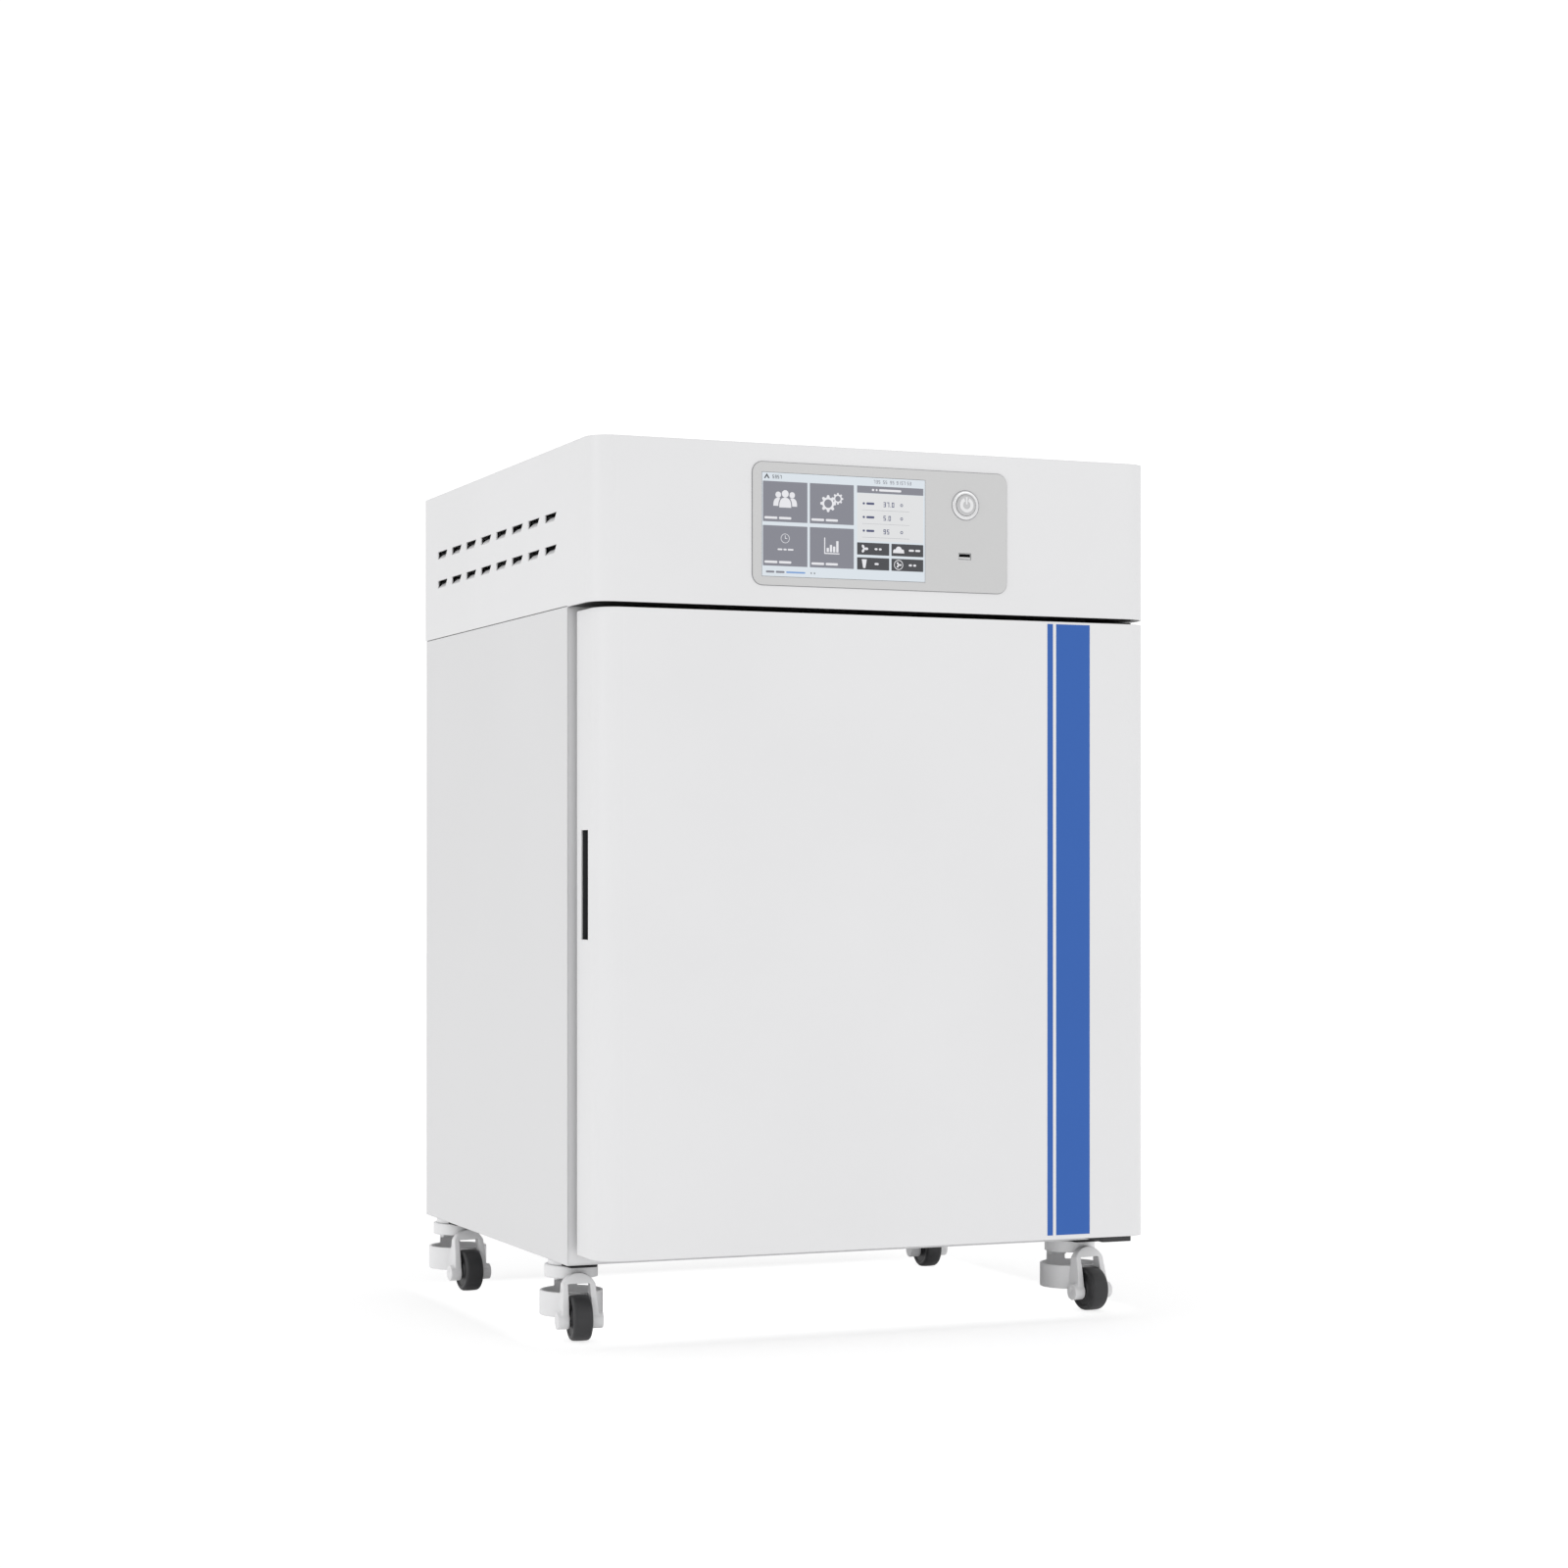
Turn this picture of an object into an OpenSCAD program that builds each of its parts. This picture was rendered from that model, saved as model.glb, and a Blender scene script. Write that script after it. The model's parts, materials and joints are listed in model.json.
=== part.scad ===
// Carbon dioxide incubator of about 80 litres on four castors.
// Millimetres, +Z up, front towards -Y. The origin is on the floor, at the middle of the whole
// object's plan. Inside the modules y is counted from the front face of the door, and at_front()
// moves it to its place. A door opens towards -Y.

/* [Cabinet] */
// Width of the cabinet over its side faces
cabinet_w = 600; // [580:5:640]
// Height of the cabinet's lower edge above the floor
body_lift = 76; // [74:0.5:80]
// Height of the insulated body
body_h = 640; // [620:5:680]
// Room between the insulation and the back of the body, for the fan motor
motor_room = 27; // [26:0.5:32]
// Height of the control head on top of the body
head_h = 157.2; // [150:0.2:175]
// How far the head stands out behind the body
head_back_lip = 4; // [2:0.5:8]
// Radius of the rounded front corners of the door and the head
corner_r = 24; // [16:1:28]
// Thickness of the painted sheet steel
sheet_t = 1.5; // [1.2:0.1:2]
// Open joint between the head and the body
seam = 0.8; // [0.5:0.1:1.4]

/* [Outer door] */
// Thickness of the outer door
door_t = 66; // [60:1:74]
// Space between the closed door and the body, filled by the magnetic gasket
gasket_gap = 10; // [8:0.5:13]
// Lower edge of the door above the lower edge of the body
door_rise = 11.5; // [11:0.5:14]
// Upper edge of the door below the upper edge of the body
door_drop = 5.3; // [4.8:0.1:8]
// How far the left flank of the door stands in from the side of the body
flank_inset = 6.6; // [4:0.2:9]
// Hinge pin in from the right side of the cabinet
pin_inset = 17; // [15:0.5:19]
// Hinge pin in front of the back face of the door
pin_back = 18; // [16:0.5:19]
// Diameter of the hinge pins of the outer door
pin_d = 10; // [8:0.5:12]
// Width of the finger grip in the left flank
grip_w = 20; // [18:0.5:24]
// Height of the finger grip
grip_h = 105.3; // [90:1:130]
// Depth of the finger grip
grip_depth = 28; // [20:1:34]
// Finger grip in front of the back face of the door
grip_back = 13; // [10:0.5:16]
// Lower end of the finger grip above the lower edge of the door
grip_rise = 305.8; // [250:5:350]
// Width of the magnetic gasket
seal_w = 14; // [11:0.5:16]

/* [Door stripes] */
// Width of the broad stripe
broad_stripe_w = 37.9; // [25:0.5:50]
// Width of the narrow stripe
narrow_stripe_w = 6.1; // [4:0.1:9]
// Bare gap between the stripes
stripe_gap = 3.8; // [2:0.1:6]
// Broad stripe in from the right side of the door
stripe_inset = 68.9; // [50:0.5:90]
// Thickness of the stripe film
film_t = 0.3; // [0.2:0.05:0.5]
// Stripe ends below the top of the door
stripe_top = 2.5; // [1:0.5:6]
// Stripe ends above the bottom of the door
stripe_bottom = 4.6; // [2:0.2:8]

/* [Chamber] */
// Wall between the chamber and each side of the cabinet
side_wall = 100; // [95:1:105]
// Chamber floor above the lower edge of the body
chamber_rise = 62; // [56:1:70]
// Ceiling of the chamber below the top of the body
chamber_drop = 78; // [72:1:84]
// Mouth of the chamber behind the front face of the body
mouth_depth = 16; // [15:0.5:20]
// Radius of the long corners inside the chamber
chamber_r = 20; // [12:1:22]
// Thickness of the stainless steel liner
liner_t = 1.2; // [1:0.1:1.6]
// Thickness of the heating jacket round the liner
heater_t = 1; // [0.8:0.1:1.5]
// Thickness of the insulation behind the chamber
back_wool = 51.8; // [48:0.5:55]
// Recess round the mouth that takes the glass door
recess_margin = 28; // [27:0.5:31]

/* [Glass door] */
// Thickness of the glass pane
pane_t = 5; // [4:0.5:6]
// Thickness of the silicone seal round the mouth
inner_seal_t = 6; // [5:0.5:7]
// Width of the silicone seal
inner_seal_w = 8; // [6:0.5:10]
// Pane edge short of the recess wall
pane_gap = 6; // [5:0.5:7]
// Hinge pin of the glass door in from the recess wall
pane_pin_inset = 9; // [8:0.5:10]
// Pane edge in from its hinge pin
pane_pin_edge = 6; // [5.8:0.1:7]
// Diameter of the glass door's hinge pins
pane_pin_d = 5; // [4:0.5:5.5]
// Length of the latch tongue from its pivot
tongue_l = 44; // [43:0.5:46]
// Width of the latch tongue
tongue_w = 12; // [10:0.5:14]

/* [Shelves and tray] */
// Height of the lowest shelf above the chamber floor
first_shelf = 77; // [70:1:85]
// Room above the top shelf, where the fan turns
top_room = 173; // [168:1:178]
// Depth of a shelf
shelf_d = 320; // [300:5:322]
// Front edge of a shelf behind the mouth of the chamber
shelf_setback = 38; // [37:0.5:42]
// Room between a shelf and the back wall of the chamber
shelf_back_room = 42; // [40:1:60]
// Thickness of the shelf sheet
shelf_t = 1.5; // [1.2:0.1:2]
// Height of the folded shelf edge
shelf_lip = 12; // [10:0.5:16]
// Side gap between a shelf and the chamber wall
shelf_side = 11; // [11:0.5:14]
// Diameter of the holes in a shelf
shelf_hole_d = 14; // [10:0.5:18]
// Distance between the holes in a shelf
shelf_hole_pitch = 34; // [30:1:45]
// Gap between the humidity tray and each side wall of the chamber
tray_side = 25; // [24:1:40]
// Depth of the humidity tray
tray_d = 300; // [260:5:310]
// Height of the humidity tray
tray_h = 40; // [30:1:50]

/* [Fan] */
// Diameter of the circulation fan wheel
fan_d = 110; // [100:1:114]
// Fan axis above the highest shelf
fan_rise = 88; // [84:1:92]
// Number of blades on the fan wheel
blades = 14; // [10:1:18]
// Diameter of the fan shaft
fan_shaft_d = 8; // [6:0.5:10]
// Diameter of the fan's air filter
filter_d = 96; // [80:1:104]

/* [Control head] */
// Width of the display panel
bezel_w = 274; // [262:1:290]
// Height of the display panel
bezel_h = 119.3; // [112:0.5:124]
// Top of the display panel below the top of the head
bezel_drop = 18; // [14:0.5:20]
// Corner radius of the display panel
bezel_r = 10.5; // [6:0.5:14]
// Thickness of the display panel
bezel_t = 1.2; // [1:0.1:1.6]
// Width of the touch screen
screen_w = 174.7; // [160:1:180]
// Height of the touch screen
screen_h = 101.3; // [90:0.5:104]
// Left edge of the screen in from the left edge of the display panel
screen_inset = 9.4; // [8:0.2:12]
// Diameter of the power button's cap
button_d = 21.8; // [18:0.2:24]
// Width of the ring round the power button
ring_w = 3.3; // [2.5:0.1:5]
// Travel of the power button
button_travel = 2.5; // [1.5:0.5:3]
// Power button in from the right edge of the display panel
button_inset = 45.9; // [38:0.5:48]
// Width of the data socket
socket_w = 14; // [13:0.5:16]
// Height of the data socket
socket_h = 6.5; // [6:0.5:8]
// Vent slots in one row on each side
vent_count = 8; // [4:1:8]
// Length of a vent slot along its upper edge
vent_l = 37; // [28:1:42]
// Height of a vent slot
vent_h = 8; // [6:0.5:10]
// Distance from one vent slot to the next
vent_pitch = 54.4; // [50:0.2:58]
// First vent slot behind the front face
vent_start = 109; // [95:1:120]
// Upper vent row below the top of the head
vent_drop = 62.3; // [50:1:70]
// Distance between the two vent rows
vent_row_pitch = 31.9; // [24:0.5:40]

/* [Rear fittings] */
// Radius of the hose tail for the gas supply
gas_pin_r = 4; // [3:0.25:5]
// Length of the straight hose tail
gas_pin_l = 16; // [12:1:20]
// Length of the tapered end of the hose tail
gas_barb_l = 6; // [4:0.5:8]
// Length of the hexagon of the gas fitting
gas_hex_l = 8; // [6:0.5:10]
// Bore of the access port at the back
port_bore = 26; // [20:1:32]
// Wall of the access port sleeve
port_wall = 3; // [2:0.5:4]

/* [Castors] */
// Swivel axis in from the side of the cabinet
castor_inset = 22.5; // [22.5:0.5:28]
// Front swivel axis behind the front face of the body
castor_front = 55.5; // [54:0.5:70]
// Rear swivel axis in front of the back of the body
castor_rear = 46; // [38:0.5:50]
// Wheel axle ahead of the swivel axis
trail = 38; // [36:0.5:40]
// Diameter of a wheel
wheel_d = 45; // [43:0.5:47]
// Width of a wheel
wheel_w = 19.5; // [17:0.5:20]
// Diameter of the wheel axle
axle_d = 6; // [5:0.5:7]
// Diameter of the swivel stem
stem_d = 10; // [8:0.5:12]
// Radius of the swivel plate
plate_r = 26.5; // [24:0.5:28]
// Radius of the hollow cup below the plate
cup_r = 31.5; // [30:0.5:33]
// Width of the fork over its arch
fork_w = 33; // [32:0.5:36]
// Width of the fork over its axle bosses
boss_w = 46; // [42:1:50]

/* [Hidden] */

// Facets asked for on a full circle; every circle here stays a true circle
$fn = 48;

// Clearances
fit = 0.05;          // radial gap of a pin or shaft that turns in a bore
snug = 0.3;          // gap between pieces that are set against each other
over = 1;            // how far a cut runs past the face that it opens

// Colours
paint_white = [0.90, 0.90, 0.905];
paint_side = [0.87, 0.87, 0.875];
steel = [0.74, 0.75, 0.76];
dark = [0.13, 0.13, 0.14];
panel_grey = [0.80, 0.80, 0.80];
stripe_blue = [0.25, 0.42, 0.71];
rubber_black = [0.20, 0.20, 0.20];
castor_grey = [0.76, 0.76, 0.77];
brass = [0.80, 0.66, 0.34];
silicone = [0.93, 0.93, 0.92];

// Cabinet
half_w = cabinet_w / 2;
body_y = door_t + gasket_gap;
chamber_w = cabinet_w - 2 * side_wall;
chamber_d = shelf_setback + shelf_d + shelf_back_room;
chamber_h = body_h - chamber_rise - chamber_drop;
chamber_y = body_y + mouth_depth;
chamber_back = chamber_y + chamber_d;
wool_back = chamber_back + liner_t + back_wool;
body_back = wool_back + motor_room;
body_top = body_lift + body_h;
head_d = body_back + head_back_lip;
head_bottom = body_top + seam;
head_top = head_bottom + head_h;
fascia_drop = 1;     // the front of the head reaches this much lower than its sides
tray_floor_t = 2;    // floor sheet of the head
collar_t = 2;        // front collar of the body
inner_w = half_w - sheet_t;

// Place of the front face, so that the origin is at the middle of the whole depth
ring_proud = 1.6;    // ring of the power button in front of the display panel
cap_proud = 1.6;     // cap of the power button in front of its ring
fitting_flange = 3;  // flange of a rear fitting
front_reach = bezel_t + ring_proud + cap_proud;
rear_reach = head_d + fitting_flange + gas_hex_l + gas_pin_l + gas_barb_l;
front_y = (front_reach - rear_reach) / 2;

// Outer door
door_left = -half_w + flank_inset;
door_bottom = body_lift + door_rise;
door_top = body_top - door_drop;
pin_x = half_w - pin_inset;
pin_y = door_t - pin_back;
pin_r = pin_d / 2;
bush_r = pin_r + 4;
bush_l = 20;
hinge_w = 34;        // width of a hinge plate
hinge_right = half_w - 5;
hinge_left = hinge_right - hinge_w;
hinge_front = pin_y - 20;
hinge_leg_t = 4;
hinge_back = body_y + collar_t + hinge_leg_t;
low_plate_t = 6;     // lower hinge plate, which carries the door
high_plate_t = 2.9;  // upper hinge plate, in the gap under the head
low_plate_top = door_bottom - 2.8;
high_plate_top = body_top - sheet_t;
hinge_leg_h = 50;
grip_y = door_t - grip_back - grip_w;
grip_z = door_bottom + grip_rise;
cup_wall = 1.5;
seal_out = 24;       // outer edge of the magnetic gasket in from the side of the cabinet

// Chamber
floor_z = body_lift + chamber_rise;
ceiling_z = floor_z + chamber_h;
chamber_mid = floor_z + chamber_h / 2;
recess_w = chamber_w + 2 * recess_margin;
recess_h = chamber_h + 2 * recess_margin;
recess_r = 12;
flange_w = 32;       // flange of the liner round its mouth
wool_front = chamber_y + liner_t;
wool_side = 18;      // room under and over the insulation
wool_low = body_lift + wool_side;
wool_high = body_top - wool_side;

// Glass door
pane_back = chamber_y - inner_seal_t - snug;
pane_front = pane_back - pane_t;
pane_pin_x = recess_w / 2 - pane_pin_inset;
pane_pin_y = body_y + 2;
pane_pin_r = pane_pin_d / 2;
knuckle_r = 4.5;
knuckle_l = 22;
pane_left = -recess_w / 2 + pane_gap;
pane_right = pane_pin_x - pane_pin_edge;
pane_low = chamber_mid - recess_h / 2 + pane_gap;
pane_high = chamber_mid + recess_h / 2 - pane_gap;
pane_hinges = [pane_low + 70, pane_high - 70];
latch_x = pane_left + 26;
latch_z = chamber_mid;
latch_shaft_r = 4;
tongue_t = 2.5;
tongue_front = body_y - 1 - tongue_t;

// Shelves, counted from the bottom
shelf_w = chamber_w - 2 * shelf_side;
shelf_y = chamber_y + shelf_setback;
shelf_pitch = (chamber_h - first_shelf - top_room) / 2;
shelf_top = [for (i = [0:2]) floor_z + first_shelf + i * shelf_pitch];
tray_w = chamber_w - 2 * tray_side;
ledge_t = 1.5;
post_inset = 20;     // posts of the shelf rails in from the ends of a shelf
post_w = 12;
rail_posts = [post_inset, shelf_d - post_inset - post_w];

// Fan
fan_z = shelf_top[2] + fan_rise;
shroud_depth = 34;
shroud_wall = 1.2;
shroud_w = fan_d + 90;
shroud_h = fan_d + 22;
shroud_y = chamber_back - shroud_depth;
motor_l = motor_room - 6;
fan_y = chamber_back - 6;   // back plate of the fan wheel
fan_depth = 22;
motor_r = 30;

// Probes in the back wall, the temperature probe at the right and the gas sensor at the left
probe_gap = 36;      // from the side of the fan cover to a probe
probe_x = shroud_w / 2 + probe_gap;
probe_z = ceiling_z - 40;
probe_r = 3;
sensor_stem_r = 5;

// Control head
bezel_top = head_top - bezel_drop;
bezel_z = bezel_top - bezel_h / 2;
cutout_inset = 5;    // opening in the fascia inside the edge of the display panel
screen_left = -bezel_w / 2 + screen_inset;
screen_x = screen_left + screen_w / 2;
screen_z = bezel_z - 0.7;
glass_t = 3;
module_t = 10;
board_gap = 4;
board_t = 1.6;
button_x = bezel_w / 2 - button_inset;
button_z = bezel_z + 26.9;
button_r = button_d / 2;
socket_x = button_x - 0.6;
socket_z = bezel_z - 23.9;
switch_y = 4.5;      // front of the switch body behind the front face
plunger_r = 4;
plunger_back = 10;

// Rear fittings
gas_inset = 50;      // from the side of the chamber
gas_rise = 73.2;     // above the bottom of the head
gas_tube_reach = 72; // of the chamber tube in front of the back of the chamber
port_inset = 60;
port_rise = 112;
inlet_inset = 110;
inlet_rise = 63.2;
gas_x = -(chamber_w / 2 - gas_inset);
gas_z = head_bottom + gas_rise;
gas_tube_y = chamber_back - gas_tube_reach;
port_x = chamber_w / 2 - port_inset;
port_z = floor_z + port_rise;
port_r = port_bore / 2;
inlet_x = half_w - inlet_inset;
inlet_z = head_bottom + inlet_rise;

// Castors: the four swivel axes in plan, and heights above the floor
castor_x = half_w - castor_inset;
castor_spots = [
    [-castor_x, body_y + castor_front], [castor_x, body_y + castor_front],
    [-castor_x, body_back - castor_rear], [castor_x, body_back - castor_rear]
];
castor_turns = [-6.3, 5.8, 2.6, 0]; // rest angle of each castor about its stem
wheel_r = wheel_d / 2;
stem_r = stem_d / 2;
stem_boss_r = 23;
stem_boss_t = 4.4;
plate_top = body_lift - stem_boss_t - snug;
plate_t = 12.2;
plate_low = plate_top - plate_t;
cup_top = 46;
cup_low = 21.5;
cup_wall_t = 3;
cup_floor_t = 6;
wheel_gap = 1.6;     // room round a wheel
fork_top = plate_top - 5.2;
leg_t = 5.5;
fork_spread = 2;     // how far each leg leans out down to the axle
arch_lift = 1.5;     // radius of the arch over half the width of the fork
boss_r = 8.5;
boss_drop = 2.4;     // middle of the bosses below the axle
dimple_r = 2.2;      // round hollow over each end of the axle
dimple_t = 1.2;
stud_l = 16;
stud_r = 6;

// Places everything that is measured from the front face
module at_front() {
    translate([0, front_y, 0]) children();
}

// Box between two opposite corners
module block(low, high) {
    translate(low) cube(high - low);
}

// Places a castor piece under its stem, at its rest angle
module at_castor(spot) {
    at_front() translate([castor_spots[spot][0], castor_spots[spot][1], 0])
        rotate([0, 0, castor_turns[spot]]) children();
}

// Runs an outline drawn in X and Z along Y
module along_y(y0, y1) {
    translate([0, y1, 0]) rotate([90, 0, 0]) linear_extrude(y1 - y0) children();
}

// Runs an outline drawn in Y and Z along X
module along_x(x0, x1) {
    translate([x0, 0, 0]) rotate([90, 0, 90]) linear_extrude(x1 - x0) children();
}

// Round bar along Y
module bar_y(x, z, r, y0, y1) {
    translate([x, y1, z]) rotate([90, 0, 0]) cylinder(r = r, h = y1 - y0);
}

// Round bar along X
module bar_x(y, z, r, x0, x1) {
    translate([x0, y, z]) rotate([0, 90, 0]) cylinder(r = r, h = x1 - x0);
}

// Plan outline with two rounded front corners
module round_front(x0, x1, y0, y1, r) {
    translate([x0 + r, y0]) square([x1 - x0 - 2 * r, r]);
    translate([x0, y0 + r]) square([x1 - x0, y1 - y0 - r]);
    for (x = [x0 + r, x1 - r]) translate([x, y0 + r]) circle(r);
}

// Rectangle about its middle with four round corners
module round_rect(w, h, r) {
    square([w - 2 * r, h], center = true);
    square([w, h - 2 * r], center = true);
    for (sx = [-1, 1], sz = [-1, 1]) translate([sx * (w / 2 - r), sz * (h / 2 - r)]) circle(r);
}

// Frame between two rounded rectangles, standing across Y
module frame_y(w, h, r, edge, y0, y1) {
    along_y(y0, y1) difference() {
        round_rect(w, h, r);
        round_rect(w - 2 * edge, h - 2 * edge, max(r - edge, 1));
    }
}

// Puts an outline of the chamber's cross-section at its height
module at_chamber() {
    translate([0, 0, chamber_mid]) children();
}

// Body

module outer_shell() {
    color(paint_side) at_front() difference() {
        block([-half_w, body_y, body_lift], [half_w, body_back, body_top]);
        block([-inner_w, body_y - over, body_lift + sheet_t],
            [inner_w, body_back + over, body_top - sheet_t]);
        for (p = castor_spots) translate([p[0], p[1], body_lift - over])
            cylinder(r = stud_r + fit, h = sheet_t + 2 * over);
        translate([gas_x, gas_tube_y, body_top - sheet_t - over])
            cylinder(r = 4, h = sheet_t + 2 * over);
    }
}

module back_panel() {
    color(paint_side) at_front() difference() {
        block([-inner_w, body_back - sheet_t, body_lift + sheet_t],
            [inner_w, body_back, body_top - sheet_t]);
        bar_y(port_x, port_z, port_r + port_wall, body_back - sheet_t - over, body_back + over);
    }
}

// Two hollow rails along the bottom of the body, which take the castor studs
module base_rails() {
    rail_in = 44;
    color(steel) at_front() for (side = [-1, 1]) {
        x_out = side * inner_w;
        x_in = side * (inner_w - rail_in);
        difference() {
            block([min(x_out, x_in), body_y + collar_t + 6, body_lift + sheet_t],
                [max(x_out, x_in), body_back - 2 * sheet_t, wool_low]);
            block([min(x_out, x_in) + 2, body_y, body_lift + sheet_t + 6],
                [max(x_out, x_in) - 2, body_back, wool_low - 2]);
            for (p = castor_spots) translate([p[0], p[1], body_lift])
                cylinder(r = stud_r + fit, h = stud_l + over);
        }
    }
}

// Moulded frame round the mouth of the chamber, with the recess for the glass door
module front_collar() {
    wall_w = recess_w + 2 * collar_t;
    wall_h = recess_h + 2 * collar_t;
    color(paint_white) at_front() difference() {
        union() {
            difference() {
                block([-inner_w, body_y, body_lift + sheet_t],
                    [inner_w, body_y + collar_t, body_top - sheet_t]);
                at_chamber() along_y(body_y - over, body_y + collar_t + over)
                    round_rect(recess_w, recess_h, recess_r);
            }
            at_chamber() frame_y(wall_w, wall_h, recess_r + collar_t, collar_t,
                body_y, chamber_y);
        }
        hinge_slots();
    }
}

// Slots that the two hinge plates of the outer door pass through
module hinge_slots() {
    block([hinge_left, body_y - over, low_plate_top - low_plate_t],
        [hinge_right, chamber_y, low_plate_top]);
    block([hinge_left, body_y - over, high_plate_top - high_plate_t],
        [hinge_right, chamber_y, high_plate_top + over]);
}

// Hinge plate with a leg that is fastened behind the collar
module hinge_arm(plate_top_z, plate_thick, leg_low, leg_high) {
    translate([0, 0, plate_top_z - plate_thick]) linear_extrude(plate_thick)
        round_front(hinge_left, hinge_right, hinge_front, hinge_back, 3);
    block([hinge_left, body_y + collar_t, leg_low], [hinge_right, hinge_back, leg_high]);
}

module hinge_bottom() {
    low = low_plate_top - low_plate_t;
    color(dark) at_front() {
        hinge_arm(low_plate_top, low_plate_t, low, low + hinge_leg_h);
        translate([pin_x, pin_y, low_plate_top - over]) cylinder(r = pin_r, h = bush_l + over);
    }
}

module hinge_top() {
    low = high_plate_top - high_plate_t;
    color(dark) at_front() {
        hinge_arm(high_plate_top, high_plate_t, high_plate_top - hinge_leg_h, high_plate_top);
        translate([pin_x, pin_y, low - bush_l + 2]) cylinder(r = pin_r, h = bush_l);
    }
}

// Stainless box with rounded long corners, a back wall and a flange round its mouth
module chamber_liner() {
    color(steel) at_front() difference() {
        union() {
            at_chamber() along_y(chamber_y, chamber_back + liner_t)
                round_rect(chamber_w + 2 * liner_t, chamber_h + 2 * liner_t, chamber_r + liner_t);
            at_chamber() along_y(chamber_y, chamber_y + liner_t)
                round_rect(chamber_w + 2 * flange_w, chamber_h + 2 * flange_w, recess_r);
        }
        at_chamber() along_y(chamber_y - over, chamber_back)
            round_rect(chamber_w, chamber_h, chamber_r);
        back_wall_holes(chamber_back - over, chamber_back + liner_t + over);
        gas_line_hole(ceiling_z - over, ceiling_z + liner_t + over);
    }
}

// Holes for the fan shaft, the two probes and the access port
module back_wall_holes(y0, y1) {
    bar_y(0, fan_z, fan_shaft_d / 2 + 2, y0, y1);
    bar_y(probe_x, probe_z, probe_r + snug, y0, y1);
    bar_y(-probe_x, probe_z, sensor_stem_r + snug, y0, y1);
    bar_y(port_x, port_z, port_r + port_wall, y0, y1);
}

module gas_line_hole(z0, z1) {
    translate([gas_x, gas_tube_y, z0]) cylinder(r = 3.5, h = z1 - z0);
}

// Thin electric jacket wrapped round the liner
module chamber_heater() {
    inset = 30;
    color("darkorange") at_front() difference() {
        at_chamber() frame_y(chamber_w + 2 * (liner_t + heater_t),
            chamber_h + 2 * (liner_t + heater_t), chamber_r + liner_t + heater_t,
            heater_t, chamber_y + inset, chamber_back - inset);
        gas_line_hole(ceiling_z, ceiling_z + 10);
    }
}

module insulation() {
    color("khaki") at_front() difference() {
        block([-inner_w, wool_front, wool_low], [inner_w, wool_back, wool_high]);
        at_chamber() along_y(wool_front - over, chamber_back + liner_t)
            round_rect(chamber_w + 2 * (liner_t + heater_t),
                chamber_h + 2 * (liner_t + heater_t), chamber_r + liner_t + heater_t);
        back_wall_holes(chamber_back, wool_back + over);
        gas_line_hole(ceiling_z, wool_high + over);
    }
}

module inner_seal() {
    color(silicone) at_front() at_chamber()
        frame_y(chamber_w + 12 + 2 * inner_seal_w, chamber_h + 12 + 2 * inner_seal_w,
            chamber_r, inner_seal_w, chamber_y - inner_seal_t, chamber_y);
}

// Inside the chamber

// C-shaped slide along the side wall: ledge under the shelf, and a lip above its edge
module slide_channel(z) {
    wall_x = chamber_w / 2;
    back = shelf_y + shelf_d;
    ledge_top = z - shelf_lip - snug;
    lip_low = z + 0.6;
    web_x = shelf_w / 2 + snug;
    block([web_x, shelf_y, ledge_top - ledge_t], [web_x + ledge_t, back, lip_low + ledge_t]);
    block([shelf_w / 2 - 8, shelf_y, ledge_top - ledge_t], [web_x + over, back, ledge_top]);
    block([shelf_w / 2 - 5, shelf_y + 4, lip_low], [web_x + over, back, lip_low + ledge_t]);
}

module shelf_rails() {
    web_x = shelf_w / 2 + snug + ledge_t;
    color(steel) at_front() for (side = [0, 1]) mirror([side, 0, 0]) {
        for (z = shelf_top) slide_channel(z);
        for (y = rail_posts)
            block([web_x - 0.5, shelf_y + y, shelf_top[0] - 40],
                [chamber_w / 2, shelf_y + y + post_w, shelf_top[2] + 40]);
    }
}

// Perforated shelf with a folded edge all round and a rolled front grip
module shelf(z) {
    across = floor((shelf_w - 40) / shelf_hole_pitch);
    along = floor((shelf_d - 40) / shelf_hole_pitch);
    color(steel) at_front() difference() {
        block([-shelf_w / 2, shelf_y, z - shelf_lip], [shelf_w / 2, shelf_y + shelf_d, z]);
        block([-shelf_w / 2 + shelf_t, shelf_y + shelf_t, z - shelf_lip - over],
            [shelf_w / 2 - shelf_t, shelf_y + shelf_d - shelf_t, z - shelf_t]);
        for (i = [0:across - 1], j = [0:along - 1])
            translate([(i - (across - 1) / 2) * shelf_hole_pitch,
                shelf_y + shelf_d / 2 + (j - (along - 1) / 2) * shelf_hole_pitch,
                z - shelf_t - over]) cylinder(d = shelf_hole_d, h = shelf_t + 2 * over);
    }
}

module shelf_1() { shelf(shelf_top[0]); }
module shelf_2() { shelf(shelf_top[1]); }
module shelf_3() { shelf(shelf_top[2]); }

// Open humidity tray with rounded corners and a rim
module water_tray() {
    wall = 1.2;
    rim = 6;
    mid_y = shelf_y + tray_d / 2;
    color(steel) at_front() translate([0, mid_y, floor_z + snug]) difference() {
        union() {
            linear_extrude(tray_h) round_rect(tray_w - 2 * rim, tray_d - 2 * rim, 18);
            translate([0, 0, tray_h - wall]) linear_extrude(wall)
                round_rect(tray_w, tray_d, 22);
        }
        translate([0, 0, wall]) linear_extrude(tray_h)
            round_rect(tray_w - 2 * rim - 2 * wall, tray_d - 2 * rim - 2 * wall, 18 - wall);
    }
}

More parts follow.
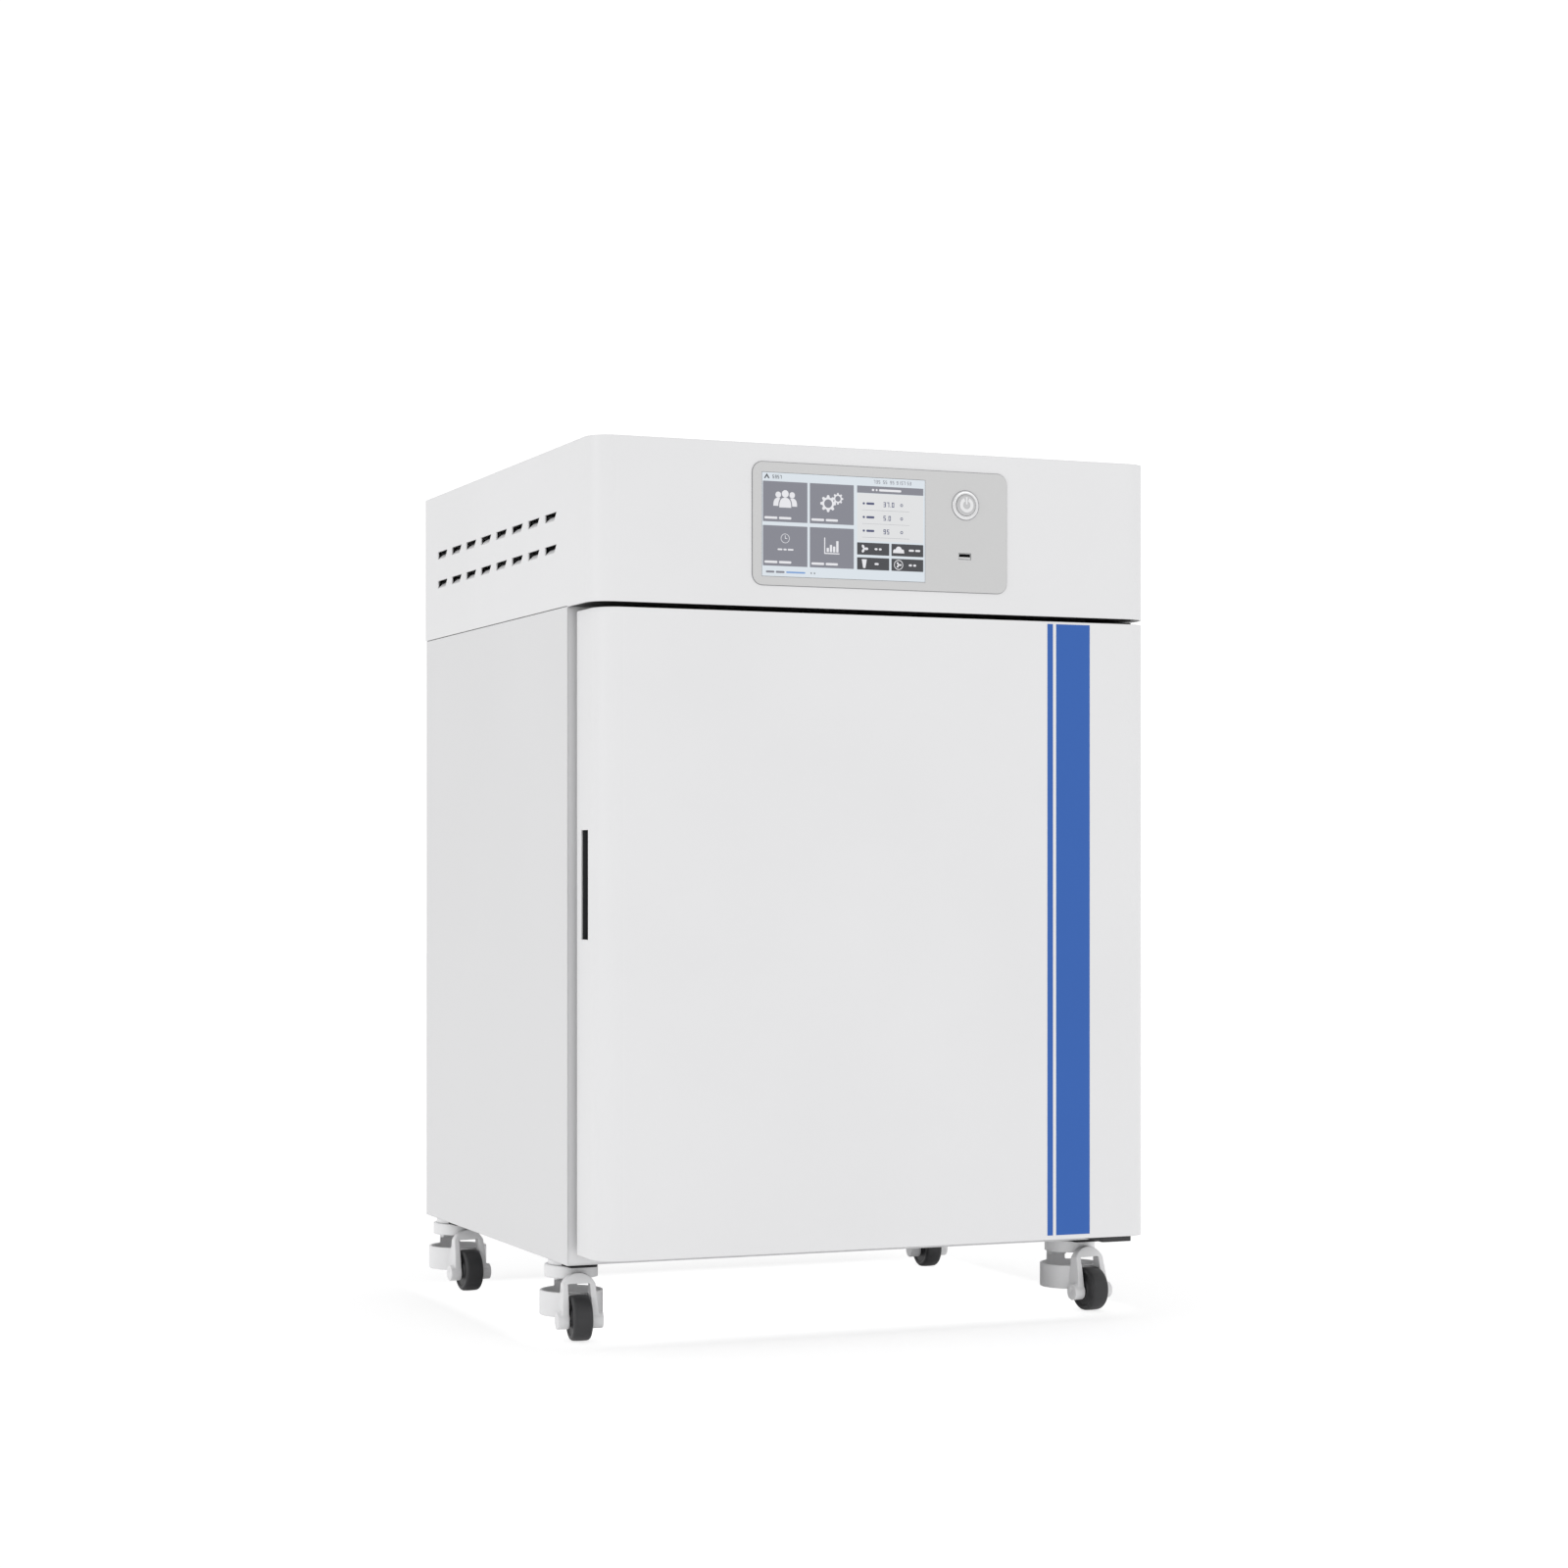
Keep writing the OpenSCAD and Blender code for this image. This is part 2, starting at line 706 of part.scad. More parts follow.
// Housing over the fan: an inlet in the middle, and slots that blow to both sides
module fan_shroud() {
    slot_h = 10;
    color(steel) at_front() difference() {
        translate([0, 0, fan_z]) along_y(shroud_y, chamber_back)
            round_rect(shroud_w, shroud_h, 10);
        translate([0, 0, fan_z]) along_y(shroud_y + shroud_wall, chamber_back + over)
            round_rect(shroud_w - 2 * shroud_wall, shroud_h - 2 * shroud_wall,
                10 - shroud_wall);
        bar_y(0, fan_z, fan_d * 0.32, shroud_y - over, shroud_y + 2 * over);
        for (side = [-1, 1], k = [-2:2])
            translate([side * shroud_w / 2, shroud_y + shroud_depth / 2, fan_z + k * 20])
                cube([6, shroud_depth - 12, slot_h], center = true);
    }
}

// One backward-curved blade, drawn in X and Z about the axis
module blade_outline() {
    bend_r = fan_d * 0.3;
    intersection() {
        translate([fan_d * 0.36, bend_r * 0.86]) difference() {
            circle(bend_r);
            circle(bend_r - 1.2);
        }
        difference() {
            circle(fan_d / 2 - 1);
            circle(fan_d * 0.33);
        }
        translate([0, -fan_d / 2]) square([fan_d / 2, fan_d * 0.62]);
    }
}

module fan_wheel() {
    plate = 1.5;
    color(steel) at_front() {
        translate([0, 0, fan_z]) {
            along_y(fan_y - plate, fan_y) circle(d = fan_d);
            along_y(fan_y - fan_depth, fan_y - fan_depth + plate) difference() {
                circle(d = fan_d);
                circle(fan_d * 0.36);
            }
            for (i = [0:blades - 1]) rotate([0, i * 360 / blades, 0])
                along_y(fan_y - fan_depth + plate / 2, fan_y - plate / 2) blade_outline();
        }
        bar_y(0, fan_z, fan_shaft_d / 2 + 6, fan_y - 12, fan_y - plate / 2);
        bar_y(0, fan_z, fan_shaft_d / 2, fan_y - 2, wool_back + 11);
    }
}

module fan_motor() {
    color(dark) at_front() difference() {
        union() {
            bar_y(0, fan_z, motor_r, wool_back, wool_back + motor_l);
            bar_y(0, fan_z, motor_r + 8, wool_back, wool_back + 2);
        }
        bar_y(0, fan_z, fan_shaft_d / 2 + fit, wool_back - over, wool_back + 12);
    }
}

// Pleated filter in front of the fan inlet
module air_filter() {
    depth = 22;
    pleats = 36;
    out_r = filter_d / 2 - 2;
    in_r = out_r - 8;
    points = [for (i = [0:2 * pleats - 1]) let (r = i % 2 == 0 ? out_r : in_r, a = i * 180 / pleats)
        [r * cos(a), r * sin(a)]];
    color(silicone) at_front() translate([0, 0, fan_z]) difference() {
        union() {
            along_y(shroud_y - depth, shroud_y - depth + 3) circle(d = filter_d);
            along_y(shroud_y - 3, shroud_y) circle(d = filter_d);
            along_y(shroud_y - depth + 2, shroud_y - 2) polygon(points);
        }
        along_y(shroud_y - depth + 3, shroud_y + over) circle(in_r - 4);
    }
}

module temperature_probe() {
    color(steel) at_front() {
        bar_y(probe_x, probe_z, probe_r, chamber_back - 34, wool_back + 6);
        bar_y(probe_x, probe_z, probe_r + 4, chamber_back - 3, chamber_back);
    }
}

module gas_sensor() {
    color(steel) at_front() difference() {
        union() {
            bar_y(-probe_x, probe_z, 11, chamber_back - 34, chamber_back);
            bar_y(-probe_x, probe_z, sensor_stem_r, chamber_back - 3, wool_back + 6);
        }
        for (a = [0:60:359]) translate([-probe_x, 0, probe_z]) rotate([0, a, 0])
            translate([7, chamber_back - 34 - over, 0]) rotate([-90, 0, 0])
                cylinder(r = 1.6, h = 10);
    }
}

module access_sleeve() {
    color(silicone) at_front() difference() {
        union() {
            bar_y(port_x, port_z, port_r + port_wall, chamber_back, body_back + 2);
            bar_y(port_x, port_z, port_r + port_wall + 5, body_back, body_back + fitting_flange);
        }
        bar_y(port_x, port_z, port_r, chamber_back - over, body_back + fitting_flange + over);
    }
}

module port_plug() {
    color([0.62, 0.64, 0.66]) at_front() {
        bar_y(port_x, port_z, port_r - fit, body_back - 25, body_back + fitting_flange + 1);
        bar_y(port_x, port_z, port_r + 5, body_back + fitting_flange,
            body_back + fitting_flange + 7);
        bar_y(port_x, port_z, 7, body_back + fitting_flange + 6,
            body_back + fitting_flange + 16);
    }
}

// Glass door

// Hinge posts on the recess wall with the pins that the glass door lifts off
module inner_hinge_pins() {
    color(steel) at_front() for (z = pane_hinges) {
        translate([pane_pin_x, pane_pin_y, z - 12]) cylinder(r = knuckle_r, h = 12 - snug);
        translate([pane_pin_x, pane_pin_y, z - over])
            cylinder(r = pane_pin_r, h = knuckle_l - 2);
        block([pane_pin_x, pane_pin_y - 3, z - 12],
            [recess_w / 2, pane_pin_y + 3, z - snug]);
    }
}

module glass_pane() {
    color([0.75, 0.88, 0.88, 0.35]) at_front() difference() {
        translate([(pane_left + pane_right) / 2, 0, chamber_mid]) along_y(pane_front, pane_back)
            round_rect(pane_right - pane_left, pane_high - pane_low, 8);
        bar_y(latch_x, latch_z, latch_shaft_r + fit, pane_front - over, pane_back + over);
    }
}

// Leaves on the front of the pane with the knuckles that turn on the pins
module glass_hinges() {
    leaf_t = 3;
    leaf_w = 26;
    color(steel) at_front() for (z = pane_hinges) difference() {
        union() {
            translate([pane_pin_x, pane_pin_y, z]) cylinder(r = knuckle_r, h = knuckle_l);
            block([pane_right - leaf_w, pane_front - leaf_t, z - 8],
                [pane_right - over, pane_front, z + knuckle_l + 8]);
            block([pane_right - 4, pane_front - leaf_t, z],
                [pane_pin_x, pane_front, z + knuckle_l]);
        }
        translate([pane_pin_x, pane_pin_y, z - over])
            cylinder(r = pane_pin_r + fit, h = knuckle_l + 2 * over);
        translate([pane_pin_x, pane_pin_y, z - 14]) cylinder(r = knuckle_r + 1, h = 14);
    }
}

// Turn button: at rest its tongue hangs down, and a quarter turn brings it under the keeper
module latch_lever() {
    color(dark) at_front() {
        bar_y(latch_x, latch_z, 11, tongue_front, pane_front - snug);
        bar_y(latch_x, latch_z, latch_shaft_r, tongue_front, pane_back + 2);
        bar_y(latch_x, latch_z, 7, pane_back + snug, pane_back + 2.6);
        along_y(tongue_front, tongue_front + tongue_t) {
            translate([latch_x - tongue_w / 2, latch_z - tongue_l + tongue_w / 2])
                square([tongue_w, tongue_l - tongue_w / 2]);
            translate([latch_x, latch_z - tongue_l + tongue_w / 2]) circle(tongue_w / 2);
        }
        block([latch_x - 3, tongue_front - 4.5, latch_z - 11],
            [latch_x + 3, tongue_front + over, latch_z + 11]);
    }
}

module latch_keeper() {
    lip_t = 2;
    lip_back = tongue_front - 1;
    post_x = latch_x - tongue_l - 3;
    color(steel) at_front() {
        block([post_x - 8, lip_back - lip_t, latch_z - tongue_w],
            [post_x, body_y, latch_z + tongue_w]);
        block([post_x - over, lip_back - lip_t, latch_z - tongue_w],
            [post_x + 12, lip_back, latch_z + tongue_w]);
    }
}

// Outer door

module door_skin() {
    color(paint_white) at_front() difference() {
        translate([0, 0, door_bottom]) linear_extrude(door_top - door_bottom)
            round_front(door_left, half_w, 0, door_t, corner_r);
        translate([0, 0, door_bottom + sheet_t]) linear_extrude(door_top - door_bottom - 2 * sheet_t)
            round_front(door_left + sheet_t, inner_w, sheet_t, door_t + over, corner_r - sheet_t);
        block([door_left - over, grip_y, grip_z],
            [door_left + sheet_t + over, grip_y + grip_w, grip_z + grip_h]);
        for (z = [door_bottom - over, door_top - sheet_t - over]) translate([pin_x, pin_y, z])
            cylinder(r = bush_r, h = sheet_t + 2 * over);
    }
}

module door_core() {
    edge = sheet_t + snug;
    color("khaki") at_front() difference() {
        translate([0, 0, door_bottom + edge]) linear_extrude(door_top - door_bottom - 2 * edge)
            round_front(door_left + edge, half_w - edge, edge, door_t - edge, corner_r - edge);
        block([door_left, grip_y - cup_wall - snug, grip_z - cup_wall - snug],
            [door_left + sheet_t + grip_depth + cup_wall + snug,
                grip_y + grip_w + cup_wall + snug, grip_z + grip_h + cup_wall + snug]);
        for (z = [door_bottom, door_top - bush_l - snug]) translate([pin_x, pin_y, z])
            cylinder(r = bush_r + snug, h = bush_l + snug);
    }
}

module door_liner() {
    color(steel) at_front()
        block([door_left + sheet_t, door_t - sheet_t, door_bottom + sheet_t],
            [inner_w, door_t, door_top - sheet_t]);
}

// Magnetic gasket: a flat foot and a narrower bellows that meets the body
module door_seal() {
    seal_low = body_lift + 19;
    seal_high = body_top - 13;
    mid = (seal_low + seal_high) / 2;
    w = cabinet_w - 2 * seal_out;
    h = seal_high - seal_low;
    foot = 3;
    color([0.60, 0.60, 0.61]) at_front() translate([0, 0, mid]) {
        frame_y(w, h, 16, seal_w, door_t, door_t + foot);
        frame_y(w - 6, h - 6, 13, seal_w - 6, door_t + foot - 0.5, body_y - snug);
    }
}

// Moulded cup behind the finger opening in the flank
module grip_cup() {
    x0 = door_left + sheet_t;
    color(dark) at_front() difference() {
        block([x0, grip_y - cup_wall, grip_z - cup_wall],
            [x0 + grip_depth + cup_wall, grip_y + grip_w + cup_wall, grip_z + grip_h + cup_wall]);
        block([x0 - over, grip_y, grip_z], [x0 + grip_depth, grip_y + grip_w, grip_z + grip_h]);
    }
}

module door_stripes() {
    right = half_w - stripe_inset;
    left = right - broad_stripe_w;
    low = door_bottom + stripe_bottom;
    high = door_top - stripe_top;
    color(stripe_blue) at_front() {
        block([left, -film_t, low], [right, 0, high]);
        block([left - stripe_gap - narrow_stripe_w, -film_t, low],
            [left - stripe_gap, 0, high]);
    }
}

// Bushes in the bottom and the top of the door, each with a flange
module door_bushes() {
    low_face = low_plate_top + snug;
    high_face = high_plate_top - high_plate_t - snug;
    color("gray") at_front() difference() {
        union() {
            translate([pin_x, pin_y, low_face]) cylinder(r = bush_r, h = bush_l);
            translate([pin_x, pin_y, low_face])
                cylinder(r = bush_r + 2, h = door_bottom - low_face);
            translate([pin_x, pin_y, high_face - bush_l]) cylinder(r = bush_r, h = bush_l);
        }
        for (z = [low_face - over, high_face - bush_l - over]) translate([pin_x, pin_y, z])
            cylinder(r = pin_r + fit, h = bush_l + 2 * over);
    }
}

// Control head

// Vent slot in Y and Z: upright at the back, slanted at the front, shorter below
module vent_outline() {
    polygon([[0, 0], [vent_l, 0], [vent_l, -vent_h], [vent_l * 0.2, -vent_h]]);
}

// Every vent slot of one side, as a cut and as the tongue bent in from its lower edge
module vents(as_tongue) {
    lip_inset = 0.7;
    lip_lean = 62;
    for (row = [0, 1], i = [0:vent_count - 1])
        translate([0, vent_start + i * vent_pitch, head_top - vent_drop - row * vent_row_pitch])
            if (as_tongue)
                translate([-half_w + sheet_t * 0.4, vent_l * 0.2 + lip_inset, -vent_h - 0.6])
                    rotate([0, lip_lean, 0]) cube([1, vent_l * 0.8 - 2 * lip_inset, vent_h]);
            else
                along_x(-half_w - over, -inner_w + over) vent_outline();
}

// Fascia and both sides of the head, bent from one sheet
module head_cover() {
    low = head_bottom - fascia_drop;
    color(paint_white) at_front() {
        difference() {
            translate([0, 0, low]) linear_extrude(head_top - low)
                round_front(-half_w, half_w, 0, head_d, corner_r);
            translate([0, 0, low - over]) linear_extrude(head_top - low + 2 * over)
                round_front(-inner_w, inner_w, sheet_t, head_d + over, corner_r - sheet_t);
            block([-half_w - over, body_y, low - over], [half_w + over, head_d + over, head_bottom]);
            for (side = [0, 1]) mirror([side, 0, 0]) vents(false);
            translate([0, 0, bezel_z]) along_y(-over, sheet_t + over)
                round_rect(bezel_w - 2 * cutout_inset, bezel_h - 2 * cutout_inset,
                    max(bezel_r - cutout_inset, 1));
        }
        for (side = [0, 1]) mirror([side, 0, 0]) vents(true);
    }
}

module head_lid() {
    w = inner_w - snug;
    lip = 12;
    color(paint_white) at_front() difference() {
        translate([0, 0, head_top - lip]) linear_extrude(lip)
            round_front(-w, w, sheet_t + snug, head_d, corner_r - sheet_t - snug);
        translate([0, 0, head_top - lip - over]) linear_extrude(lip + over - sheet_t)
            round_front(-w + sheet_t, w - sheet_t, 2 * sheet_t + snug, head_d + over,
                corner_r - 2 * sheet_t - snug);
        block([-half_w, head_d - sheet_t - snug, head_top - lip - over],
            [half_w, head_d + over, head_top - sheet_t]);
    }
}

module head_tray() {
    w = inner_w - snug;
    color(dark) at_front() difference() {
        translate([0, 0, body_top]) linear_extrude(tray_floor_t)
            round_front(-w, w, sheet_t + snug, head_d - sheet_t, corner_r - sheet_t - snug);
        translate([gas_x, gas_tube_y, body_top - over])
            cylinder(r = 4, h = tray_floor_t + 2 * over);
    }
}

module head_back_panel() {
    inlet_w = 28;
    inlet_h = 20;
    color(paint_side) at_front() difference() {
        block([-inner_w, head_d - sheet_t, body_top + tray_floor_t],
            [inner_w, head_d, head_top - sheet_t]);
        bar_y(gas_x, gas_z, gas_pin_r + 2, head_d - sheet_t - over, head_d + over);
        translate([inlet_x, 0, inlet_z]) along_y(head_d - sheet_t - over, head_d + over)
            square([inlet_w, inlet_h], center = true);
    }
}

// Grey panel on the fascia, with a skirt that locates it in the opening behind
module display_bezel() {
    skirt_w = bezel_w - 2 * cutout_inset - 2 * snug;
    skirt_h = bezel_h - 2 * cutout_inset - 2 * snug;
    color(panel_grey) at_front() difference() {
        union() {
            translate([0, 0, bezel_z]) along_y(-bezel_t, 0) round_rect(bezel_w, bezel_h, bezel_r);
            translate([0, 0, bezel_z]) along_y(-over / 2, sheet_t + 2)
                round_rect(skirt_w, skirt_h, max(bezel_r - cutout_inset - snug, 0.8));
        }
        translate([screen_x, 0, screen_z]) along_y(-bezel_t - over, sheet_t + 3)
            square([screen_w, screen_h], center = true);
        bar_y(button_x, button_z, button_r + snug, -bezel_t - over, sheet_t + 3);
        translate([socket_x, 0, socket_z]) along_y(-bezel_t - over, sheet_t + 3)
            square([socket_w, socket_h], center = true);
    }
}

// Cover glass with the metal case of the display behind it
module touch_screen() {
    color([0.35, 0.37, 0.42]) at_front() translate([screen_x, 0, screen_z]) {
        along_y(-bezel_t + 0.2, glass_t - bezel_t)
            square([screen_w - 2 * snug, screen_h - 2 * snug], center = true);
        along_y(glass_t - bezel_t - over, glass_t - bezel_t + module_t)
            square([screen_w - 8, screen_h - 8], center = true);
    }
}

// Circuit board on four standoffs behind the display
module control_board() {
    back = glass_t - bezel_t + module_t;
    board_w = screen_w - 10;
    board_h = screen_h - 14;
    color("seagreen") at_front() translate([screen_x, 0, screen_z]) {
        along_y(back + board_gap, back + board_gap + board_t)
            square([board_w, board_h], center = true);
        for (sx = [-1, 1], sz = [-1, 1])
            bar_y(sx * (board_w / 2 - 5), sz * (board_h / 2 - 5), 3, back, back + board_gap + over);
        for (k = [0:3]) translate([-board_w / 2 + 20 + 30 * k, 0, board_h / 2 - 22])
            along_y(back + board_gap, back + board_gap + board_t + 3)
                square([18, 18], center = true);
        for (k = [0:4])
            bar_y(-board_w / 2 + 18 + 14 * k, -board_h / 2 + 14, 5,
                back + board_gap, back + board_gap + board_t + 14);
    }
}

// Switch body behind the panel, with the ring that shows in front of it
module power_switch() {
    ring_out = button_r + snug + ring_w;
    color([0.78, 0.78, 0.79]) at_front() difference() {
        union() {
            bar_y(button_x, button_z, ring_out, -bezel_t - ring_proud, -bezel_t);
            bar_y(button_x, button_z, button_r + snug, -bezel_t - over, 0);
            bar_y(button_x, button_z, button_r - 1, -over, 26);
        }
        bar_y(button_x, button_z, button_r + fit, -bezel_t - ring_proud - over, -bezel_t);
        bar_y(button_x, button_z, button_r - 2.2, -bezel_t - over, switch_y);
        bar_y(button_x, button_z, button_r + fit, -bezel_t - over, -0.4);
        bar_y(button_x, button_z, plunger_r + fit, switch_y - over,
            plunger_back + button_travel + 2);
    }
}

// Cap of the power button on its plunger
module power_button() {
    cap_front = -front_reach;
    color([0.84, 0.84, 0.85]) at_front() {
        bar_y(button_x, button_z, button_r - snug, cap_front, cap_front + 1.4);
        bar_y(button_x, button_z, button_r - 3, cap_front + over, 0.5);
        bar_y(button_x, button_z, plunger_r, 0, plunger_back);
    }
}

// Flat data socket with a contact tongue in its lower half
module data_socket() {
    wall = 0.6;
    depth = 14;
    tongue_t = 2;
    tongue_set = 1;
    w = socket_w - 2 * snug;
    h = socket_h - 2 * snug;
    color(steel) at_front() translate([socket_x, 0, socket_z]) {
        difference() {
            along_y(-bezel_t + 0.4, depth) square([w, h], center = true);
            along_y(-bezel_t - over, depth - 2)
                square([w - 2 * wall, h - 2 * wall], center = true);
        }
        along_y(-bezel_t + tongue_set, depth - over) translate([-w / 2 + wall * 2, -h / 2 + wall * 2])
            square([w - wall * 4, tongue_t]);
        block([-w / 2 - 4, depth - 0.5, -h / 2 - 3], [w / 2 + 4, depth + 6, h / 2 + 3]);
    }
}

// Folded tray with the closed converter standing in it
module power_supply() {
    size = [120, 190, 52];
    wall = 1.5;
    front_room = 20;
    side_room = 12;
    right = inner_w - 20;
    back = head_d - 70;
    floor_top = body_top + tray_floor_t;
    color("silver") at_front() translate([right - size[0], back - size[1], floor_top])
        difference() {
            cube(size);
            translate([wall, wall, wall]) cube([size[0] - 2 * wall, size[1] - 2 * wall, size[2]]);
        }
    color("silver") at_front()
        block([right - size[0] + side_room, back - size[1] + front_room, floor_top + 1],
            [right - side_room, back - front_room, floor_top + size[2] - 8]);
}

// Appliance inlet: a flange on the back panel and a socket well with three pins
module power_inlet() {
    w = 27;
    h = 19;
    depth = 20;
    color(dark) at_front() translate([inlet_x, 0, inlet_z]) {
        difference() {
            union() {
                along_y(head_d, head_d + fitting_flange) round_rect(48, 30, 5);
                along_y(head_d - depth - 2, head_d + over) square([w, h], center = true);
            }
            along_y(head_d - depth, head_d + fitting_flange + over)
                polygon([[-11, -7.5], [11, -7.5], [11, 4], [7, 7.5], [-7, 7.5], [-11, 4]]);
        }
        for (p = [[-6.5, -1.5], [0, 2.5], [6.5, -1.5]]) translate([p[0], 0, p[1]])
            along_y(head_d - depth - over, head_d - 3) square([2, 4], center = true);
    }
}

// Gas supply fitting: flange, hexagon and a straight hose tail with a tapered end
module gas_inlet() {
    y_hex = head_d + fitting_flange;
    y_tail = y_hex + gas_hex_l;
    y_barb = y_tail + gas_pin_l;
    gas_taper = 1.2;
    color(brass) at_front() translate([gas_x, 0, gas_z]) difference() {
        union() {
            bar_y(0, 0, gas_pin_r + 6, head_d, y_hex);
            along_y(y_hex - 0.5, y_tail) circle(r = gas_pin_r + 4, $fn = 6);
            bar_y(0, 0, gas_pin_r, head_d - 14, y_barb + over);
            bar_y(0, 0, gas_pin_r + 1.7, head_d - sheet_t - 0.5, head_d + over);
            bar_y(0, 0, gas_pin_r + 4, head_d - sheet_t - 4, head_d - sheet_t);
            translate([0, y_barb, 0]) rotate([-90, 0, 0])
                cylinder(r1 = gas_pin_r, r2 = gas_pin_r - gas_taper, h = gas_barb_l);
        }
        bar_y(0, 0, gas_pin_r / 2, head_d - 15, y_barb + gas_barb_l + over);
    }
}

// Solenoid valve between the gas fitting and the line into the chamber
module gas_valve() {
    color([0.25, 0.25, 0.27]) at_front() {
        block([gas_x - 16, gas_tube_y - 16, gas_z - 12], [gas_x + 16, gas_tube_y + 16, gas_z + 12]);
        translate([gas_x, gas_tube_y, gas_z + 11]) cylinder(r = 13, h = 36);
        block([gas_x - 9, gas_tube_y - 9, body_top + tray_floor_t],
            [gas_x - 6, gas_tube_y + 9, gas_z - 11]);
    }
}

// Gas line: from the fitting to the valve, and from the valve down into the chamber
module gas_tube() {
    line_r = 3;
    color("whitesmoke") at_front() difference() {
        union() {
            bar_y(gas_x, gas_z, gas_pin_r + 1.5, gas_tube_y + 16, head_d - 6);
            translate([gas_x, gas_tube_y, ceiling_z - 12])
                cylinder(r = line_r, h = gas_z - 12 - ceiling_z + 12);
            translate([gas_x, gas_tube_y, ceiling_z - 18]) cylinder(r = 9, h = 8);
        }
        bar_y(gas_x, gas_z, gas_pin_r, head_d - 14, head_d);
        bar_y(gas_x, gas_z, gas_pin_r - 1, gas_tube_y + 15, head_d - 13);
    }
}

// Pan-head screw on a face that looks towards +Y
module rear_screw(x, z, y) {
    translate([x, y, z]) rotate([-90, 0, 0]) difference() {
        cylinder(r1 = 4, r2 = 3, h = 2.2);
        translate([0, 0, 1]) cylinder(r = 1.6, h = 2, $fn = 6);
    }
}

module panel_screws() {
    in = 10;
    color("silver") at_front() {
        for (sx = [-1, 1], k = [0:3])
            rear_screw(sx * (inner_w - in),
                body_lift + in + sheet_t + k * (body_h - 2 * in - 2 * sheet_t) / 3, body_back);
        for (sx = [-1, 1], z = [body_top + 16, head_top - 24])
            rear_screw(sx * (inner_w - in), z, head_d);
    }
}

// Castors

// Boss under the body, threaded stud above it and riveted stem below it
module castor_stems() {
    color(castor_grey) at_front() for (p = castor_spots) translate([p[0], p[1], 0]) {
        translate([0, 0, body_lift - stem_boss_t]) cylinder(r = stem_boss_r, h = stem_boss_t);
        translate([0, 0, body_lift - over]) cylinder(r = stud_r, h = stud_l);
        translate([0, 0, plate_low - snug - over])
            cylinder(r = stem_r, h = plate_t + stem_boss_t);
        translate([0, 0, plate_low - snug - 2]) cylinder(r = stem_r + 2.5, h = 2);
    }
}

// Side view of the fork in Y and Z: it leans forward from the cup to the axle
module fork_side() {
    polygon([
        [-trail - boss_r + 1, cup_low], [-trail - 4, cup_low + 18], [-cup_r - 3, fork_top],
        [-cup_r + 3.4, fork_top], [-cup_r + 5, cup_top], [-cup_r + 6, cup_low]
    ]);
}

// Front view of the fork in X and Z: an arch over the wheel
module fork_front() {
    top_half = fork_w / 2;
    foot_half = top_half + fork_spread;
    arch_r = top_half + arch_lift;
    crown = arch_r - sqrt(arch_r * arch_r - top_half * top_half);
    shoulder = fork_top - crown;
    window_w = fork_w - 2 * leg_t;
    window_top = fork_top - 10.8;
    difference() {
        union() {
            intersection() {
                translate([0, fork_top - arch_r]) circle(arch_r);
                translate([-top_half, shoulder - over]) square([fork_w, crown + 2 * over]);
            }
            polygon([
                [-foot_half, 0], [foot_half, 0], [foot_half, wheel_r],
                [top_half, shoulder], [-top_half, shoulder], [-foot_half, wheel_r]
            ]);
        }
        translate([-window_w / 2, -over]) square([window_w, window_top + over]);
    }
}

// Swivelling moulding: plate, web at the back, hollow cup, arched fork, bosses and axle pin
module castor_frame(spot) {
    reach = fork_w / 2 + fork_spread;
    color(castor_grey) at_castor(spot) {
        difference() {
            union() {
                translate([0, 0, plate_low]) cylinder(r = plate_r, h = plate_t);
                castor_web();
                translate([0, 0, cup_low]) cylinder(r = cup_r, h = cup_top - cup_low);
                intersection() {
                    along_x(-reach, reach) fork_side();
                    along_y(-trail - 2 * boss_r, 0) fork_front();
                }
                bar_x(-trail, wheel_r - boss_drop, boss_r, -boss_w / 2, boss_w / 2);
            }
            translate([0, 0, plate_low - over]) cylinder(r = stem_r + fit, h = plate_t + 2 * over);
            translate([0, 0, cup_low + cup_floor_t])
                cylinder(r = cup_r - cup_wall_t, h = cup_top - cup_low);
            bar_x(-trail, wheel_r, wheel_r + wheel_gap, -fork_w / 2 + leg_t, fork_w / 2 - leg_t);
            for (side = [-1, 1]) translate([side * boss_w / 2, 0, 0])
                bar_x(-trail, wheel_r, dimple_r, -dimple_t, dimple_t);
        }
        translate([0, 0, cup_low + cup_floor_t - 0.5]) cylinder(r = 12, h = cup_top - cup_low - 10);
        bar_x(-trail, wheel_r, axle_d / 2, -boss_w / 2 + 3, boss_w / 2 - 3);
    }
}

// Curved wall that joins the plate to the back of the cup
module castor_web() {
    half_angle = 24;
    reach = 60;
    intersection() {
        translate([0, 0, cup_top - 2]) difference() {
            cylinder(r = cup_r - 2, h = plate_low - cup_top + 4);
            translate([0, 0, -over]) cylinder(r = cup_r - 9, h = plate_low - cup_top + 4 + 2 * over);
        }
        translate([0, 0, cup_top - 3]) linear_extrude(plate_low - cup_top + 6)
            polygon([[0, 0], [-reach * tan(half_angle), reach], [reach * tan(half_angle), reach]]);
    }
}

module castor_frame_fl() { castor_frame(0); }
module castor_frame_fr() { castor_frame(1); }
module castor_frame_rl() { castor_frame(2); }
module castor_frame_rr() { castor_frame(3); }

